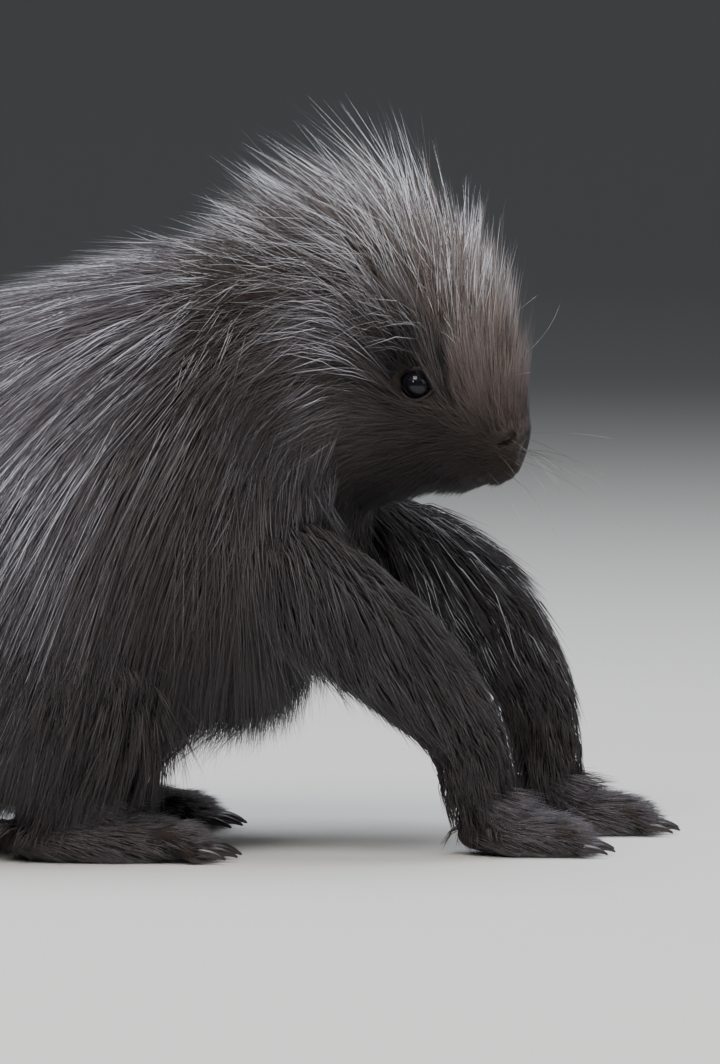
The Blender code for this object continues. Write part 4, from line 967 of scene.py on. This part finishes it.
def hairs_on_leg(count, path, radii, long, short, comb, along, stand, tuft, spread, low=10 * MM):
    """Hairs on the skin of one leg, from long at its top, where they hang the way comb points, to
    short at its foot, where they follow the limb by the share along and stand off it most."""
    share, heading, around, off = along_bones(skin_middle, path, radii)
    weight = skin_area * (np.abs(off + SKIN_UNDER) < 3.5 * MM) * (skin_middle[:, 2] > low)
    tufts = count // tuft
    picked = rng.choice(len(weight), tufts, p=weight / weight.sum())
    share, heading, around = share[picked], heading[picked], around[picked]
    out, root = skin_normal[picked], skin_middle[picked]
    follow = smoothstep(share * 1.3 - 0.1)[:, None]
    way = heading * along * (0.3 + 0.7 * follow) + np.array(comb) * (1 - 0.8 * along * follow)
    way += rng.normal(0, 0.10, root.shape)
    way += out * (0.05 + stand * share - (way * out).sum(1))[:, None]
    way /= np.linalg.norm(way, axis=1)[:, None]
    length = (long + (short - long) * smoothstep(share)) * rng.uniform(0.8, 1.15, tufts)
    length *= 0.6 + 0.4 * smoothstep(share / 0.35)
    own = np.repeat(np.arange(tufts), tuft)
    start = root[own] + rng.normal(0, spread, (len(own), 3)) * (1 - np.abs(out[own]))
    end = root[own] + way[own] * (length[own] * rng.uniform(0.85, 1.1, len(own)))[:, None]
    end = end * 0.6 + (start + way[own] * length[own][:, None]) * 0.4
    end += rng.normal(0, 0.035, start.shape) * length[own][:, None]
    t = along_hair(3)[None, :, None]
    curves = start[:, None] + (end - start)[:, None] * t + (out[own] * length[own][:, None] * 0.2)[:, None] * (
        t * (1 - t) * 2)
    curves[..., 2] = np.maximum(curves[..., 2] - (t[..., 0] ** 2) * length[own][:, None] * 0.08, 0.6 * MM)
    curves[:, 0] -= out[own] * 0.8 * MM
    made = dict(curves=curves, out=out[own], s=share[own], angle=around[own], tuft=rng.uniform(0, 1, tufts)[own])
    made["frost"] = 0.32 - 0.10 * share[own]
    made["warm"] = np.full(len(own), 0.2)
    made["tuft"] = made["tuft"] - 0.4
    return made


for side, name in ((-1, "right"), (1, "left")):
    mirror = (1, side, 1)
    for part, path, radii, long, short, comb, along, stand, count in (
        ("foreleg", ARMS[side], ARM_RADII, 36, 13, (-0.05, 0, -0.95), 1.0, 0.17, 5200),
        ("thigh", THIGH * mirror, THIGH_RADII, 36, 30, (-0.4, 0, -0.95), 0.0, 0.04, 2800),
        ("shank", SHANK * mirror, SHANK_RADII, 22, 11, (-0.1, 0, -0.9), 0.4, 0.12, 1900),
    ):
        wool = hairs_on_leg(count, path, radii, long * 0.85 * MM, short * MM, comb, along, stand, 4, 1.6 * MM)
        blades(f"coat_{part}_underfur_{name}", wool, 0.55 * MM, underfur_finish, unwrapped(wool))
        hair = hairs_on_leg(count // 3, path, radii, long * MM, short * 1.1 * MM, comb, along, stand, 2, 1.6 * MM)
        fringe = part == "foreleg" and side > 0
        hair["frost"] = hair["frost"] + 1.6 * fringe * np.exp(-(((hair["s"] - 0.48) / 0.15) ** 2))
        hair["frost"] -= 0.6 * smoothstep((hair["s"] - 0.75) / 0.15)
        finish = crest_finish if fringe else guard_finish
        blades(f"coat_{part}_guard_{name}", hair, 0.34 * MM, finish, unwrapped(hair))


def hairs_on_foot(count, at, length, width, height, toes):
    """Short flat hairs over the top of a foot and its toes, pointing to the claws."""
    x0, y0 = at
    x, y, z = skin_middle.T
    inside = (x > x0 - 0.35 * length) & (x < x0 + 1.05 * length) & (np.abs(y - y0) < width * 0.75)
    weight = skin_area * inside * (z < height * 1.3) * (z > 1.0 * MM) * (skin_normal[:, 2] > -0.8)
    tufts = count // 3
    picked = rng.choice(len(weight), tufts, p=weight / weight.sum())
    out, root = skin_normal[picked], skin_middle[picked]
    own = np.repeat(np.arange(tufts), 3)
    start = root[own] + rng.normal(0, 0.7 * MM, (len(own), 3)) * (1 - np.abs(out[own]))
    spans = x0 - 0.2 * length, x0 + 0.5 * length, x0 + length
    reach = np.interp(root[own][:, 0], spans, (13, 8, 4)) * MM
    way = np.array((1.0, 0, -0.3)) + out[own] * 0.32 + rng.normal(0, 0.10, start.shape)
    end = start + way * (reach * rng.uniform(0.7, 1.2, len(own)))[:, None]
    t = along_hair(2)[None, :, None]
    curves = start[:, None] + (end - start)[:, None] * t + (out[own] * reach[:, None] * 0.25)[:, None] * (
        t * (1 - t) * 2)
    curves[:, 0] -= out[own] * 0.5 * MM
    curves[..., 2] = np.maximum(curves[..., 2], 0.4 * MM)
    around = np.arctan2(start[:, 2] - height * 0.3, start[:, 1] - y0)
    made = dict(curves=curves, out=out[own], s=start[:, 0], angle=around, tuft=rng.uniform(0, 1, tufts)[own])
    made["frost"] = np.interp(root[own][:, 0], spans, (0.7, 0.6, 0.35))
    made["warm"] = np.full(len(own), 0.25)
    spots = y0 + np.linspace(-1, 1, toes) * width * (0.36 + 0.1 * smoothstep((root[own][:, :1] - x0) / length))
    aside = np.abs(root[own][:, 1:2] - spots).min(1) / (width * 0.135)
    # Painted shade: hair in the gaps between the toes is darkened; all foot hair is lightened as a whole.
    made["tuft"] = made["tuft"] + 1.2 - 2.0 * smoothstep((aside - 0.6) / 0.5) * (root[own][:, 0] > x0 + 0.45 * length)
    return made


for side, name in ((-1, "right"), (1, "left")):
    for kind, at, sizes, count in (("forepaw", FOREPAWS[side], FOREPAW, 3900), ("hindfoot", HINDFEET[side], HINDFOOT, 6000)):
        fur = hairs_on_foot(count, at, sizes["length"], sizes["width"], sizes["height"], sizes["toes"])
        blades(f"coat_{kind}_{name}", fur, 0.4 * MM, foot_finish, unwrapped(fur))

# Quills: stiff hollow spines among the hair of the rump and tail, cream with a dark point.
quill_finish, nodes, links, shader = new_material("hollow_quill", 0.35, IOR=1.54, Coat_Weight=0.15)
along = node(nodes, links, "ShaderNodeAttribute", {"attribute_name": "along"}).outputs["Fac"]
tone = node(nodes, links, "ShaderNodeAttribute", {"attribute_name": "tone"}).outputs["Fac"]
shaft = node(nodes, links, "ShaderNodeValToRGB", Fac=along)
shaft.color_ramp.elements[0].position, shaft.color_ramp.elements[1].position = 0.62, 0.9
shaft.color_ramp.elements[0].color = linear("#d8cfb4")
shaft.color_ramp.elements[1].color = linear("#2a211c")
worn = node(nodes, links, "ShaderNodeMix", {"data_type": "RGBA", "blend_type": "MULTIPLY"}, in0=0.35,
            in6=shaft.outputs["Color"])
dull = node(nodes, links, "ShaderNodeCombineColor", Red=tone, Green=tone, Blue=tone).outputs["Color"]
links.new(dull, worn.inputs[7])
links.new(worn.outputs[2], shader.inputs["Base Color"])
quills = coloured(hairs_on_body(420, station(-196), TAIL_TIP - 12 * MM, lambda s, a: (np.abs(a) < 1.5) * 1.0,
                                (0.72, 0.2), 1, 0.1 * MM, 0.10, rise=((0,), (0.2,)), rings=3))
blades("quills", quills, 1.3 * MM, quill_finish, unwrapped(quills), ridge=0.8)

# Whiskers: long pale springy hairs from the muzzle, a few more over the eye.
whisker_finish, nodes, links, shader = new_material("whisker_keratin", 0.3, IOR=1.54)
along = node(nodes, links, "ShaderNodeAttribute", {"attribute_name": "along"}).outputs["Fac"]
pale = node(nodes, links, "ShaderNodeValToRGB", Fac=along)
pale.color_ramp.elements[0].color = linear("#2f2926")
pale.color_ramp.elements[1].color = linear("#9c9893")
pale.color_ramp.elements[0].position, pale.color_ramp.elements[1].position = 0.2, 0.75
links.new(pale.outputs["Color"], shader.inputs["Base Color"])
whiskers = []
for side in (-1, 1):
    for k in range(12):
        s, angle = rng.uniform(9, 17) * MM, side * rng.uniform(1.2, 2.2)
        root = body(s, angle)
        way = np.array((0.9, side * rng.uniform(0.2, 1.0), rng.uniform(-0.35, 0.15)))
        way = on_head(*way) - on_head(0, 0, 0)
        length = rng.uniform(32, 52) * MM
        t = np.linspace(0, 1, 7)[:, None]
        droop = np.array((-0.12, 0, rng.uniform(-0.45, -0.15))) * t**2
        whiskers.append(root + (way * t + droop) * length)
    for k in range(3):
        root = body(rng.uniform(16, 30) * MM, side * rng.uniform(0.2, 0.8), 0.1)
        way = on_head(0.8, side * 0.3, rng.uniform(0.1, 0.9)) - on_head(0, 0, 0)
        t = np.linspace(0, 1, 7)[:, None]
        whiskers.append(root + (way * t + np.array((-0.3, 0, rng.uniform(-0.4, 0.6))) * t**2) * rng.uniform(26, 40) * MM)
whiskers = np.array(whiskers)
count = len(whiskers)
feelers = dict(curves=whiskers, out=np.tile((0.0, 0, 1.0), (count, 1)), tuft=np.zeros(count), frost=np.zeros(count),
               warm=np.zeros(count))
blades("whiskers", feelers, 0.12 * MM, whisker_finish, whiskers[:, 0, :2], ridge=0.8, taper=0.4)

# The stage: a pale matt floor under soft studio lamps, and the camera where the photograph's stood,
# level with the animal's right side and far enough off for a long lens.
PHOTO_SIZE = np.array((720, 1064))
PHOTO_MM_PER_PX = 0.34
NOSE_PX, FLOOR_PX = 533, 845
CAMERA_DISTANCE, CAMERA_RAISE = 2.2, math.radians(3.5)
middle = (PHOTO_SIZE / 2 - (NOSE_PX, FLOOR_PX)) * PHOTO_MM_PER_PX * MM
aim = Vector((middle[0], 0, -middle[1])) + Vector(SHIFT)
camera = bpy.data.objects.new("camera", bpy.data.cameras.new("camera"))
bpy.context.scene.collection.objects.link(camera)
camera.location = aim + CAMERA_DISTANCE * Vector((0, -math.cos(CAMERA_RAISE), math.sin(CAMERA_RAISE)))
camera.rotation_euler = (aim - camera.location).to_track_quat("-Z", "Y").to_euler()
camera.data.sensor_width = 36.0
camera.data.lens = 36.0 * CAMERA_DISTANCE / (PHOTO_SIZE[1] * PHOTO_MM_PER_PX * MM)
bpy.context.scene.camera = camera

FLOOR_FLAT, FLOOR_RIM, FLOOR_RISE = 8.0, 13.0, 7.0
work = bmesh.new()
bmesh.ops.create_circle(work, cap_ends=True, segments=96, radius=FLOOR_FLAT)
edges = [edge for edge in work.edges if edge.is_boundary]
for k in range(1, 13):
    a = k / 12 * math.pi / 2
    edges = [item for item in bmesh.ops.extrude_edge_only(work, edges=edges)["geom"]]
    verts = [item for item in edges if isinstance(item, bmesh.types.BMVert)]
    edges = [item for item in edges if isinstance(item, bmesh.types.BMEdge)]
    out_to, up_to = FLOOR_FLAT + (FLOOR_RIM - FLOOR_FLAT) * math.sin(a), FLOOR_RISE * (1 - math.cos(a))
    for vert in verts:
        around = math.atan2(vert.co.y, vert.co.x)
        vert.co = (out_to * math.cos(around), out_to * math.sin(around), up_to)
floor_mesh = bpy.data.meshes.new("floor")
work.to_mesh(floor_mesh)
work.free()
floor_mesh.polygons.foreach_set("use_smooth", np.full(len(floor_mesh.polygons), True))
floor = bpy.data.objects.new("floor", floor_mesh)
bpy.context.scene.collection.objects.link(floor)
floor_finish, nodes, links, shader = new_material("pale_studio_paper", 0.85)
place = node(nodes, links, "ShaderNodeTexCoord").outputs["Object"]
tooth = node(nodes, links, "ShaderNodeTexNoise", Vector=place, Scale=1 / (1.4 * MM), Detail=2.0).outputs["Fac"]
paper = node(nodes, links, "ShaderNodeValToRGB", Fac=tooth)
paper.color_ramp.elements[0].color = linear("#c9c8c4")
paper.color_ramp.elements[1].color = linear("#d3d2ce")
far = node(nodes, links, "ShaderNodeVectorMath", {"operation": "LENGTH"}, in0=place).outputs["Value"]
fade = node(nodes, links, "ShaderNodeMapRange", {"interpolation_type": "SMOOTHSTEP"}, Value=far, From_Min=0.5,
            From_Max=4.5).outputs["Result"]
sweep = node(nodes, links, "ShaderNodeMix", {"data_type": "RGBA"}, in0=fade, in6=paper.outputs["Color"],
             in7=linear("#6f7172"))
links.new(sweep.outputs[2], shader.inputs["Base Color"])
floor_mesh.materials.append(floor_finish)

for name, at, size, power, tint in (
    ("key_lamp", (-0.25, -1.1, 1.75), 0.9, 30.0, "#fff8f0"),
    ("top_lamp", (0.1, 0.3, 1.9), 1.5, 46.0, "#eef3ff"),
    ("side_lamp", (1.7, -0.9, 0.9), 1.0, 8.0, "#ffffff"),
    ("eye_lamp", (-0.75, -1.7, 1.1), 0.14, 5.0, "#ffffff"),
):
    lamp = bpy.data.lights.new(name, "AREA")
    lamp.size = size
    lamp.energy = power
    lamp.color = linear(tint)[:3]
    held = bpy.data.objects.new(name, lamp)
    held.location = at
    held.rotation_euler = (Vector((0, 0, 0.12)) - Vector(at)).to_track_quat("-Z", "Y").to_euler()
    bpy.context.scene.collection.objects.link(held)
world = bpy.data.worlds.new("studio")
world.use_nodes = True
world.node_tree.nodes["Background"].inputs["Color"].default_value = linear("#dfe1e4")
world.node_tree.nodes["Background"].inputs["Strength"].default_value = 0.55
bpy.context.scene.world = world
